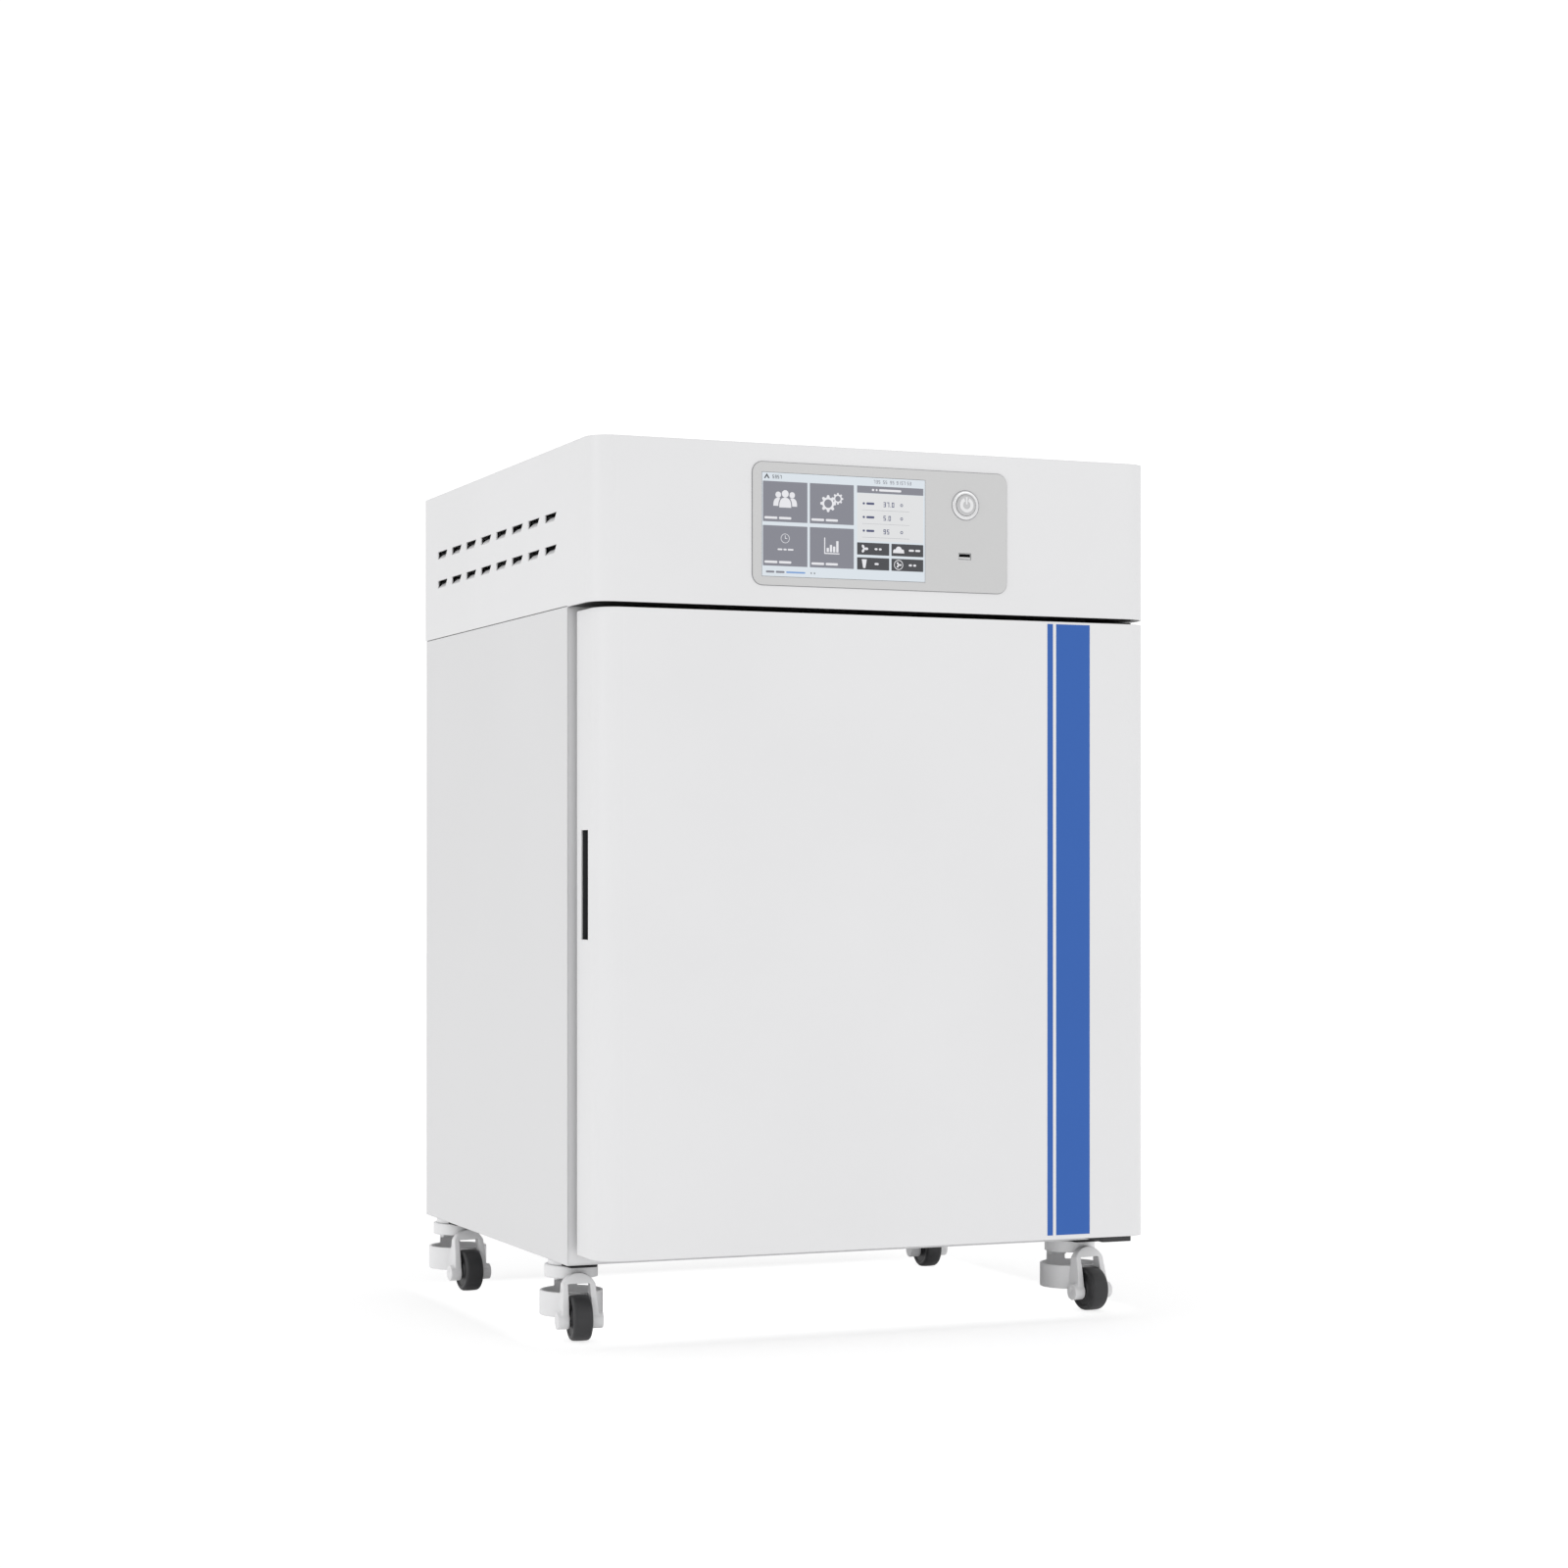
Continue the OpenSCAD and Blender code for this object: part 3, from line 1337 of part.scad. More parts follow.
// Wheel with rounded tread edges, dished sides and a hub
module wheel(spot) {
    edge = 3.2;
    hub_r = 8;
    half = wheel_w / 2;
    color(rubber_black) at_castor(spot) translate([0, -trail, wheel_r])
        rotate([0, 90, 0]) difference() {
            rotate_extrude() difference() {
                union() {
                    translate([0, -half]) square([wheel_r - edge, wheel_w]);
                    translate([0, -half + edge]) square([wheel_r, wheel_w - 2 * edge]);
                    for (s = [-1, 1]) translate([wheel_r - edge, s * (half - edge)]) circle(edge);
                }
                for (s = [-1, 1]) translate([(hub_r + wheel_r - edge) / 2, s * half])
                    square([wheel_r - edge - hub_r - 2, 3], center = true);
                translate([-wheel_r * 2, -wheel_w]) square([wheel_r * 2, wheel_w * 2]);
            }
            translate([0, 0, -wheel_w]) cylinder(r = axle_d / 2 + fit, h = wheel_w * 2);
        }
}

module wheel_fl() { wheel(0); }
module wheel_fr() { wheel(1); }
module wheel_rl() { wheel(2); }
module wheel_rr() { wheel(3); }

outer_shell();
back_panel();
base_rails();
front_collar();
chamber_liner();
insulation();
chamber_heater();
shelf_rails();
fan_shroud();
fan_wheel();
fan_motor();
air_filter();
temperature_probe();
gas_sensor();
access_sleeve();
port_plug();
inner_seal();
latch_keeper();
inner_hinge_pins();
head_cover();
head_lid();
head_tray();
head_back_panel();
display_bezel();
touch_screen();
control_board();
power_switch();
power_button();
data_socket();
power_supply();
power_inlet();
gas_inlet();
gas_valve();
gas_tube();
panel_screws();
hinge_bottom();
hinge_top();
door_skin();
door_core();
door_liner();
door_seal();
grip_cup();
door_stripes();
door_bushes();
glass_pane();
glass_hinges();
latch_lever();
shelf_1();
shelf_2();
shelf_3();
water_tray();
castor_stems();
castor_frame_fl();
castor_frame_fr();
castor_frame_rl();
castor_frame_rr();
wheel_fl();
wheel_fr();
wheel_rl();
wheel_rr();
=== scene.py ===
"""Carbon dioxide incubator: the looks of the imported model.

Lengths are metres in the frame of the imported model: X to the right, Y to the back, Z up.
"""

import json
import logging
import math
from collections.abc import Sequence
from dataclasses import dataclass, field
from enum import Enum

import bmesh
import bpy
import numpy as np
from mathutils import Matrix, Vector


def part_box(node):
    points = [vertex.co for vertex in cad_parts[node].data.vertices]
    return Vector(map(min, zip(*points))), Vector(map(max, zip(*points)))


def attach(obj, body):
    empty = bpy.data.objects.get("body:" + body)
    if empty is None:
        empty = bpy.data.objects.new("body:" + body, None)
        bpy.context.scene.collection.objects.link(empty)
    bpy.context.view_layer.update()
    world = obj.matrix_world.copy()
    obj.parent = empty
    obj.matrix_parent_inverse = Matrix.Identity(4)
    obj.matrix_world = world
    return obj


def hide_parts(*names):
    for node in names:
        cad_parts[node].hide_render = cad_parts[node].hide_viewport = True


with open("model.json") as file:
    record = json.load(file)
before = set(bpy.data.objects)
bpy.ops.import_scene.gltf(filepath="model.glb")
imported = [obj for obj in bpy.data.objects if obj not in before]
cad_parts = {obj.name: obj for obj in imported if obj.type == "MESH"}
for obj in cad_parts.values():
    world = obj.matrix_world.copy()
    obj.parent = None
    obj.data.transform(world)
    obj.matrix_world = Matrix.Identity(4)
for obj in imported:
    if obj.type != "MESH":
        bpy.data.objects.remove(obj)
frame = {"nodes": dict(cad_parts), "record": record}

LOG = logging.getLogger("incubator")
MM = 0.001
Colour = tuple[int, int, int]
Point = tuple[float, float, float]


def linear(colour: Colour, alpha: float = 1.0) -> tuple[float, float, float, float]:
    """Turn a display colour of 0 to 255 into the linear colour that shaders use.

    Args:
        colour: Red, green and blue as a screen shows them.
        alpha: Fourth value of the result.

    Returns:
        Red, green, blue and alpha from 0 to 1.
    """
    share = np.asarray(colour, float) / 255.0
    low = share / 12.92
    high = ((share + 0.055) / 1.055) ** 2.4
    red, green, blue = np.where(share <= 0.04045, low, high)
    return float(red), float(green), float(blue), alpha


# Surfaces worked out with numpy


def ring_faces(rings: int, count: int, closed: bool) -> np.ndarray:
    """Quads between neighbouring rings of points, each ring closed on itself.

    Args:
        rings: How many rings there are.
        count: Points on one ring.
        closed: Whether the last ring joins the first.

    Returns:
        One row of four point numbers for each quad.
    """
    row = np.arange(rings if closed else rings - 1)[:, None]
    column = np.arange(count)[None, :]
    here = row * count + column
    beside = row * count + (column + 1) % count
    above = ((row + 1) % rings) * count + column
    above_beside = ((row + 1) % rings) * count + (column + 1) % count
    return np.stack([here, beside, above_beside, above], axis=-1).reshape(-1, 4)


def write_piece(name: str, parts: Sequence[tuple[np.ndarray, list]], sharp: float) -> bpy.types.Object:
    """Put closed shells into one mesh object that stands at the origin.

    Args:
        name: Name of the piece.
        parts: Points and faces of each shell.
        sharp: Angle in degrees from which an edge stays sharp.

    Returns:
        The new object, linked to the scene.
    """
    points = np.concatenate([part[0] for part in parts])
    starts = np.cumsum([0] + [len(part[0]) for part in parts[:-1]])
    faces = [
        [start + corner for corner in face]
        for start, part in zip(starts.tolist(), parts)
        for face in part[1]
    ]
    mesh = bpy.data.meshes.new(name)
    mesh.from_pydata(points.tolist(), [], faces)
    shell = bmesh.new()
    shell.from_mesh(mesh)
    bmesh.ops.remove_doubles(shell, verts=shell.verts, dist=1e-8)
    bmesh.ops.recalc_face_normals(shell, faces=shell.faces)
    shell.to_mesh(mesh)
    shell.free()
    mesh.polygons.foreach_set("use_smooth", np.ones(len(mesh.polygons), bool))
    mesh.set_sharp_from_angle(angle=math.radians(sharp))
    piece = bpy.data.objects.new(name, mesh)
    bpy.context.scene.collection.objects.link(piece)
    return piece


def loft(rings: np.ndarray, closed: bool = False) -> tuple[np.ndarray, list]:
    """Skin rings of points: quads between neighbours, and a flat cap on each end if the skin is open.

    Args:
        rings: Array of rings by points by three.
        closed: Whether the last ring joins the first, so that there are no caps.

    Returns:
        Points and faces of the shell.
    """
    total, count = rings.shape[:2]
    faces = ring_faces(total, count, closed).tolist()
    if not closed:
        faces.append(list(range(count))[::-1])
        faces.append(list(range((total - 1) * count, total * count)))
    return rings.reshape(-1, 3), faces


def turned(profile: Sequence[tuple[float, float]], centre: Point, axis: str, steps: int,
           closed: bool = False) -> tuple[np.ndarray, list]:
    """Surface of revolution: the point at angle a is centre + radius * (cos a, sin a) + along * axis.

    Args:
        profile: Radius and distance along the axis of each ring, in metres.
        centre: Where the profile's zero lies.
        axis: "x", "y" or "z", the direction that the profile runs in.
        steps: Points round the axis.
        closed: Whether the profile is a loop, as for a ring.

    Returns:
        Points and faces of the shell.
    """
    radius, along = np.asarray(profile, float).T
    angle = np.arange(steps) * (2 * math.pi / steps)
    flat = radius[:, None] * np.cos(angle)[None, :]
    up = radius[:, None] * np.sin(angle)[None, :]
    deep = np.repeat(along[:, None], steps, axis=1)
    order = {"x": (deep, flat, up), "y": (up, deep, flat), "z": (flat, up, deep)}[axis]
    return loft(np.stack(order, axis=-1) + np.asarray(centre), closed)


def rounded_outline(width: float, height: float, radius: float, steps: int = 8) -> np.ndarray:
    """Rectangle with rounded corners: the centre of each plus radius * (cos a, sin a) over a quarter turn.

    Args:
        width: Size across.
        height: Size up.
        radius: Corner radius.
        steps: Spans in each quarter turn.

    Returns:
        Points across and up, counterclockwise round the middle.
    """
    quarter = np.arange(4)[:, None]
    angle = (quarter + np.arange(steps + 1)[None, :] / steps) * (math.pi / 2)
    side = np.where((quarter == 0) | (quarter == 3), 1.0, -1.0)
    rise = np.where(quarter <= 1, 1.0, -1.0)
    across = side * (width / 2 - radius) + radius * np.cos(angle)
    up = rise * (height / 2 - radius) + radius * np.sin(angle)
    return np.stack([across, up], axis=-1).reshape(-1, 2)


def on_front(outline: np.ndarray, x: float, z: float, y: float) -> np.ndarray:
    """Lay an outline into the plane at depth y, with its zero at x and z."""
    flat = np.full(len(outline), y)
    return np.stack([outline[:, 0] + x, flat, outline[:, 1] + z], axis=-1)


def slab(outline: np.ndarray, x: float, z: float, y_front: float, y_back: float) -> tuple[np.ndarray, list]:
    """Straight prism of an outline between two depths."""
    return loft(np.stack([on_front(outline, x, z, y_front), on_front(outline, x, z, y_back)]))


def band(outer: np.ndarray, inner: np.ndarray, x: float, z: float, y_front: float,
         y_back: float) -> tuple[np.ndarray, list]:
    """Prism with a hole: four rings that run out in front, in front of the hole, behind it and back out."""
    rings = [on_front(outer, x, z, y_front), on_front(inner, x, z, y_front),
             on_front(inner, x, z, y_back), on_front(outer, x, z, y_back)]
    return loft(np.stack(rings), closed=True)


def circle(radius: float, steps: int = 40) -> np.ndarray:
    """Points on a circle, radius * (cos a, sin a)."""
    angle = np.arange(steps) * (2 * math.pi / steps)
    return radius * np.stack([np.cos(angle), np.sin(angle)], axis=-1)


def gear_outline(radius: float, teeth: int, depth: float, steps: int = 160) -> np.ndarray:
    """Gear: the radius rises and falls by depth with the clipped cosine of teeth times the angle."""
    angle = np.arange(steps) * (2 * math.pi / steps)
    reach = radius + depth * np.clip(1.9 * np.cos(teeth * angle), -1, 1)
    return reach[:, None] * np.stack([np.cos(angle), np.sin(angle)], axis=-1)


def shoulders_outline(width: float, height: float, steps: int = 32) -> np.ndarray:
    """Dome on a flat base: half of the curve |x / a| ** 2.6 + |z / b| ** 2.6 = 1."""
    angle = np.linspace(0, math.pi, steps)
    power = 2 / 2.6
    across = np.sign(np.cos(angle)) * np.abs(np.cos(angle)) ** power * width / 2
    up = np.abs(np.sin(angle)) ** power * height
    return np.stack([across, up], axis=-1)


def cloud_outline(lobes: Sequence[tuple[float, float, float]], base: float, steps: int = 40) -> np.ndarray:
    """Cloud on a flat base: at each x, the highest of middle + sqrt(radius ** 2 - (x - place) ** 2).

    Args:
        lobes: Place across, height of the middle and radius of each round lobe.
        base: Height of the base.
        steps: Points over the top.

    Returns:
        Points across and up.
    """
    place, middle, radius = np.asarray(lobes, float).T
    across = np.linspace((place - radius).min(), (place + radius).max(), steps)
    inside = np.clip(radius ** 2 - (across[:, None] - place) ** 2, 0.0, None)
    top = np.where(inside > 0, middle + np.sqrt(inside), base).max(axis=1)
    crest = np.stack([across, np.maximum(top, base + 0.2)], axis=-1)
    return np.concatenate([crest, [[across[-1], base], [across[0], base]]])


# Shader groups, each built once


class Wiring:
    """Adds nodes to one node tree and links them."""

    def __init__(self, tree: bpy.types.NodeTree) -> None:
        """Keep the tree."""
        self.tree = tree

    def add(self, kind: str, values: dict | None = None, **settings: object) -> bpy.types.Node:
        """Add a node.

        Args:
            kind: Type name of the node.
            values: Inputs by name or number: a socket is linked, anything else is set.
            **settings: Properties of the node.

        Returns:
            The new node.
        """
        node = self.tree.nodes.new(kind)
        node.location = (180.0 * len(self.tree.nodes), 0.0)
        for key, value in settings.items():
            setattr(node, key, value)
        for key, value in (values or {}).items():
            if isinstance(value, bpy.types.NodeSocket):
                self.tree.links.new(value, node.inputs[key])
            else:
                node.inputs[key].default_value = value
        return node

    def sum(self, operation: str, *values: object) -> bpy.types.NodeSocket:
        """Result of a Math node."""
        return self.add("ShaderNodeMath", dict(enumerate(values)), operation=operation).outputs[0]

    def blend(self, share: object, first: object, second: object) -> bpy.types.NodeSocket:
        """Colour between two colours."""
        mix = self.add("ShaderNodeMix", {0: share, 6: first, 7: second}, data_type="RGBA")
        return mix.outputs[2]

    def spread(self, value: object, low: float, high: float, to_low: object,
               to_high: object) -> bpy.types.NodeSocket:
        """Value mapped from one range to another and held inside it."""
        node = self.add("ShaderNodeMapRange", {0: value, 1: low, 2: high, 3: to_low, 4: to_high})
        return node.outputs[0]


class ShaderGroup:
    """Base of the groups: sockets, the group's inside, and its place in a material."""

    title = ""
    takes: dict[str, str] = {}
    gives: dict[str, str] = {}

    @classmethod
    def tree(cls) -> bpy.types.NodeTree:
        """Return the group's tree, built when it is first asked for."""
        known = bpy.data.node_groups.get(cls.title)
        if known is not None:
            return known
        tree = bpy.data.node_groups.new(cls.title, "ShaderNodeTree")
        for name, kind in cls.takes.items():
            tree.interface.new_socket(name, in_out="INPUT", socket_type=f"NodeSocket{kind}")
        for name, kind in cls.gives.items():
            tree.interface.new_socket(name, in_out="OUTPUT", socket_type=f"NodeSocket{kind}")
        wires = Wiring(tree)
        inside = wires.add("NodeGroupInput")
        wires.add("NodeGroupOutput", cls.inside(wires, inside.outputs))
        return tree

    @classmethod
    def inside(cls, wires: Wiring, given: object) -> dict:
        """Build the inside and return the socket of each output."""
        raise NotImplementedError

    @classmethod
    def place(cls, wires: Wiring, **values: object) -> object:
        """Put the group into a material and return its outputs."""
        return wires.add("ShaderNodeGroup", values, node_tree=cls.tree()).outputs


class EdgeWear(ShaderGroup):
    """Rounded edges, and a mask of where they are rubbed."""

    title = "edge_wear"
    takes = {"Radius": "Float"}
    gives = {"Mask": "Float", "Normal": "Vector"}

    @classmethod
    def inside(cls, wires: Wiring, given: object) -> dict:
        """The mask is how far the rounded normal leans from the plain one, broken up by noise."""
        rounded = wires.add("ShaderNodeBevel", {"Radius": given["Radius"]}, samples=4).outputs[0]
        plain = wires.add("ShaderNodeNewGeometry").outputs["Normal"]
        agree = wires.add("ShaderNodeVectorMath", {0: rounded, 1: plain}, operation="DOT_PRODUCT")
        lean = wires.spread(agree.outputs["Value"], 0.96, 0.75, 0.0, 1.0)
        place = wires.add("ShaderNodeTexCoord").outputs["Object"]
        rubbed = wires.add("ShaderNodeTexNoise", {"Vector": place, "Scale": 90.0, "Detail": 4.0})
        patch = wires.spread(rubbed.outputs["Fac"], 0.42, 0.62, 0.0, 1.0)
        return {"Mask": wires.sum("MULTIPLY", lean, patch), "Normal": rounded}


class SurfaceGrain(ShaderGroup):
    """Fine grain in a surface: even for paint and plastic, drawn out for brushed metal."""

    title = "surface_grain"
    takes = {"Scale": "Float", "Stretch": "Vector"}
    gives = {"Height": "Float", "Cloud": "Float"}

    @classmethod
    def inside(cls, wires: Wiring, given: object) -> dict:
        """Height is two layers of stretched noise, and Cloud is a slow one for shade and gloss."""
        place = wires.add("ShaderNodeTexCoord").outputs["Object"]
        drawn = wires.add("ShaderNodeVectorMath", {0: place, 1: given["Stretch"]}, operation="MULTIPLY")
        fine = wires.add("ShaderNodeTexNoise",
                         {"Vector": drawn.outputs[0], "Scale": given["Scale"], "Detail": 3.0})
        broad = wires.add("ShaderNodeTexNoise", {
            "Vector": drawn.outputs[0], "Scale": wires.sum("MULTIPLY", given["Scale"], 0.22), "Detail": 2.0})
        cloud = wires.add("ShaderNodeTexNoise", {"Vector": place, "Scale": 5.0, "Detail": 3.0})
        height = wires.sum("ADD", fine.outputs["Fac"], wires.sum("MULTIPLY", broad.outputs["Fac"], 0.6))
        return {"Height": height, "Cloud": wires.spread(cloud.outputs["Fac"], 0.3, 0.7, -1.0, 1.0)}


class SettledDust(ShaderGroup):
    """Thin dust on faces that look up."""

    title = "settled_dust"
    takes = {"Amount": "Float"}
    gives = {"Mask": "Float"}

    @classmethod
    def inside(cls, wires: Wiring, given: object) -> dict:
        """The mask grows with the upward part of the normal and is broken up by noise."""
        normal = wires.add("ShaderNodeNewGeometry").outputs["Normal"]
        up = wires.add("ShaderNodeSeparateXYZ", {0: normal}).outputs["Z"]
        flat = wires.spread(up, 0.4, 1.0, 0.0, 1.0)
        place = wires.add("ShaderNodeTexCoord").outputs["Object"]
        specks = wires.add("ShaderNodeTexNoise", {"Vector": place, "Scale": 38.0, "Detail": 6.0})
        patch = wires.spread(specks.outputs["Fac"], 0.35, 0.75, 0.0, 1.0)
        return {"Mask": wires.sum("MULTIPLY", wires.sum("MULTIPLY", flat, patch), given["Amount"])}


class Draw(Enum):
    """How the grain of a finish is drawn out along the axes."""

    EVEN = (1.0, 1.0, 1.0)
    ALONG_X = (0.02, 1.0, 1.0)


DUST_TINT: Colour = (205, 203, 198)
GLASS_DUST_TINT: Colour = (225, 228, 226)
TRACK_TINT: Colour = (70, 140, 84)
UNLIT_SCREEN: Colour = (10, 11, 14)


@dataclass(frozen=True)
class Finish:
    """A solid surface: colour, gloss, grain, rounded and rubbed edges, dust.

    grain is the noise scale per metre, depth the height of the grain in metres, and edge the
    radius that the edges seem rounded by.
    """

    title: str
    colour: Colour
    roughness: float = 0.42
    metallic: float = 0.0
    specular: float = 0.5
    grain: float = 700.0
    depth: float = 0.00002
    draw: Draw = Draw.EVEN
    shade: float = 0.012
    gloss_spread: float = 0.05
    edge: float = 0.0006
    worn: Colour = (245, 245, 245)
    wear: float = 0.12
    dust: float = 0.06
    coat: float = 0.0

    def colour_socket(self, wires: Wiring, cloud: object) -> bpy.types.NodeSocket:
        """Colour before wear and dust, here the finish's own colour in slowly changing shade."""
        base = np.asarray(linear(self.colour)[:3])
        dark = tuple(base * (1 - self.shade)) + (1.0,)
        light = tuple(np.minimum(base * (1 + self.shade), 1.0)) + (1.0,)
        return wires.blend(wires.spread(cloud, -1.0, 1.0, 0.0, 1.0), dark, light)

    def material(self) -> bpy.types.Material:
        """Return this finish's material, built when it is first asked for."""
        title = f"{self.title}_finish"
        known = bpy.data.materials.get(title)
        if known is not None:
            return known
        made = bpy.data.materials.new(title)
        made.use_nodes = True
        made.node_tree.nodes.clear()
        made.diffuse_color = linear(self.colour)
        wires = Wiring(made.node_tree)
        shader = wires.add("ShaderNodeBsdfPrincipled")
        self.fill(wires, shader)
        wires.add("ShaderNodeOutputMaterial", {"Surface": shader.outputs[0]})
        return made

    def fill(self, wires: Wiring, shader: bpy.types.Node) -> None:
        """Feed the shader's sockets."""
        grain = SurfaceGrain.place(wires, Scale=self.grain, Stretch=self.draw.value)
        edges = EdgeWear.place(wires, Radius=self.edge)
        dust = SettledDust.place(wires, Amount=self.dust)["Mask"]
        tint = self.colour_socket(wires, grain["Cloud"])
        rubbed = wires.sum("MULTIPLY", edges["Mask"], self.wear)
        tint = wires.blend(rubbed, tint, linear(self.worn))
        tint = wires.blend(dust, tint, linear(DUST_TINT))
        gloss = wires.sum("MULTIPLY_ADD", grain["Cloud"], self.gloss_spread, self.roughness)
        gloss = wires.sum("MULTIPLY_ADD", dust, 0.5, gloss)
        bump = wires.add("ShaderNodeBump", {
            "Strength": 1.0, "Distance": self.depth, "Height": grain["Height"], "Normal": edges["Normal"]})
        links = {"Base Color": tint, "Roughness": gloss, "Normal": bump.outputs[0]}
        for name, socket in links.items():
            wires.tree.links.new(socket, shader.inputs[name])
        shader.inputs["Metallic"].default_value = self.metallic
        shader.inputs["Specular IOR Level"].default_value = self.specular
        shader.inputs["Coat Weight"].default_value = self.coat
        shader.inputs["Coat Roughness"].default_value = 0.12


@dataclass(frozen=True)
class ClearGlass(Finish):
    """Toughened glass with a faint film of dust."""

    def fill(self, wires: Wiring, shader: bpy.types.Node) -> None:
        """Glass keeps a plain transmission; only its gloss changes over the surface."""
        dust = SettledDust.place(wires, Amount=0.2)["Mask"]
        grain = SurfaceGrain.place(wires, Scale=30.0, Stretch=(1.0, 1.0, 1.0))
        gloss = wires.spread(grain["Cloud"], -1.0, 1.0, 0.0, 0.02)
        gloss = wires.sum("ADD", gloss, dust)
        wires.tree.links.new(gloss, shader.inputs["Roughness"])
        tint = wires.blend(dust, linear(self.colour), linear(GLASS_DUST_TINT))
        wires.tree.links.new(tint, shader.inputs["Base Color"])
        shader.inputs["Transmission Weight"].default_value = 1.0
        shader.inputs["IOR"].default_value = 1.5


@dataclass(frozen=True)
class LitPanel(Finish):
    """Part of the lit picture behind the cover glass: its own light under a clear gloss."""

    roughness: float = 0.15
    coat: float = 0.5
    glow: float = 0.94

    def fill(self, wires: Wiring, shader: bpy.types.Node) -> None:
        """Colour and light share one slowly changing shade, with the fine rows of a display."""
        grain = SurfaceGrain.place(wires, Scale=self.grain, Stretch=self.draw.value)
        tint = self.colour_socket(wires, grain["Cloud"])
        place = wires.add("ShaderNodeTexCoord").outputs["Object"]
        rows = wires.add("ShaderNodeTexWave", {"Vector": place, "Scale": 900.0},
                         wave_type="BANDS", bands_direction="Z")
        tint = wires.blend(wires.sum("MULTIPLY", rows.outputs["Fac"], 0.04), tint, (0.0, 0.0, 0.0, 1.0))
        wires.tree.links.new(tint, shader.inputs["Emission Color"])
        shader.inputs["Base Color"].default_value = linear(UNLIT_SCREEN)
        shader.inputs["Emission Strength"].default_value = self.glow
        gloss = wires.spread(grain["Cloud"], -1.0, 1.0, self.roughness - 0.03, self.roughness + 0.03)
        wires.tree.links.new(gloss, shader.inputs["Roughness"])
        shader.inputs["Coat Weight"].default_value = self.coat


@dataclass(frozen=True)
class BoardLacquer(Finish):
    """Circuit board: green lacquer with straight copper tracks below it."""

    def colour_socket(self, wires: Wiring, cloud: object) -> bpy.types.NodeSocket:
        """Tracks are the edges of square cells."""
        base = super().colour_socket(wires, cloud)
        place = wires.add("ShaderNodeTexCoord").outputs["Object"]
        tracks = wires.add("ShaderNodeTexBrick", {
            "Vector": place, "Scale": 140.0, "Mortar Size": 0.04,
            "Color1": (0, 0, 0, 1), "Color2": (0, 0, 0, 1), "Mortar": (1, 1, 1, 1)})
        share = wires.sum("MULTIPLY", tracks.outputs["Color"], 0.6)
        return wires.blend(share, base, linear(TRACK_TINT))


@dataclass(frozen=True)
class CellFoam(Finish):
    """Foam or filter paper: rounded cells that are darker between."""

    def colour_socket(self, wires: Wiring, cloud: object) -> bpy.types.NodeSocket:
        """Shade follows the distance from the middle of each cell."""
        base = super().colour_socket(wires, cloud)
        place = wires.add("ShaderNodeTexCoord").outputs["Object"]
        cells = wires.add("ShaderNodeTexVoronoi", {"Vector": place, "Scale": self.grain})
        gap = wires.spread(cells.outputs["Distance"], 0.3, 0.9, 0.0, 0.35)
        return wires.blend(gap, base, linear(tuple(int(value * 0.6) for value in self.colour)))


FINISHES: dict[str, Finish] = {finish.title: finish for finish in (
    Finish("painted_white", (229, 229, 230), roughness=0.38, grain=520.0,
           depth=0.000012, edge=0.0012, dust=0.03),
    # painted_side is the white paint of painted_white made darker: painted shade for the side panels, a
    # shaded copy of the same paint.
    Finish("painted_side", (220, 220, 221), roughness=0.42, grain=520.0,
           depth=0.000012, edge=0.0012, dust=0.04),
    Finish("stainless", (196, 197, 198), roughness=0.30, metallic=1.0, grain=1400.0,
           depth=0.000006, draw=Draw.ALONG_X, shade=0.04, edge=0.0005, wear=0.05, dust=0.02),
    CellFoam("insulation", (226, 216, 186), roughness=0.9, grain=520.0, depth=0.0002),
    Finish("heater_film", (196, 120, 60), roughness=0.5, grain=300.0, depth=0.00003),
    CellFoam("filter_white", (238, 238, 234), roughness=0.85, grain=1500.0, depth=0.00005),
    Finish("silicone", (226, 227, 226), roughness=0.5, grain=900.0, depth=0.00003, wear=0.0),
    Finish("grey_rubber", (150, 150, 153), roughness=0.62, grain=1200.0, depth=0.00004,
           wear=0.0),
    Finish("black_metal", (52, 52, 54), roughness=0.45, grain=800.0,
           depth=0.00002, worn=(120, 120, 122), wear=0.3),
    Finish("dark_plastic", (55, 56, 58), roughness=0.48, grain=1100.0, depth=0.00004,
           worn=(90, 90, 92), wear=0.2),
    Finish("panel_grey", (203, 203, 203), roughness=0.36, grain=900.0, depth=0.00001,
           edge=0.0004, wear=0.05, dust=0.0),
    Finish("screen", (30, 32, 38), roughness=0.08, grain=60.0, depth=0.0, shade=0.05,
           gloss_spread=0.02, wear=0.0, dust=0.0, coat=1.0, edge=0.0003),
    BoardLacquer("circuit_board", (28, 92, 52), roughness=0.35, grain=900.0),
    Finish("satin_silver", (194, 194, 195), roughness=0.30, metallic=0.35, grain=1500.0,
           depth=0.000008, shade=0.02, edge=0.0005, wear=0.05, dust=0.0),
    Finish("brass", (206, 172, 96), roughness=0.28, metallic=1.0, grain=900.0, depth=0.00001,
           shade=0.05, worn=(230, 205, 140), wear=0.3),
    Finish("tube_white", (232, 233, 230), roughness=0.3, grain=500.0, depth=0.00001),
    Finish("stripe_blue", (52, 98, 176), roughness=0.45, specular=0.25, grain=600.0,
           depth=0.00001, shade=0.02, edge=0.0002, wear=0.0, dust=0.0),
    ClearGlass("clear_glass", (243, 248, 246)),
    Finish("castor_plastic", (230, 230, 231), roughness=0.38, grain=500.0,
           depth=0.000025, shade=0.02, edge=0.001, wear=0.08, dust=0.05, coat=0.15),
    Finish("wheel_rubber", (43, 43, 45), roughness=0.42, grain=1500.0, depth=0.00002,
           shade=0.06, worn=(80, 80, 80), wear=0.15, dust=0.03),
)}

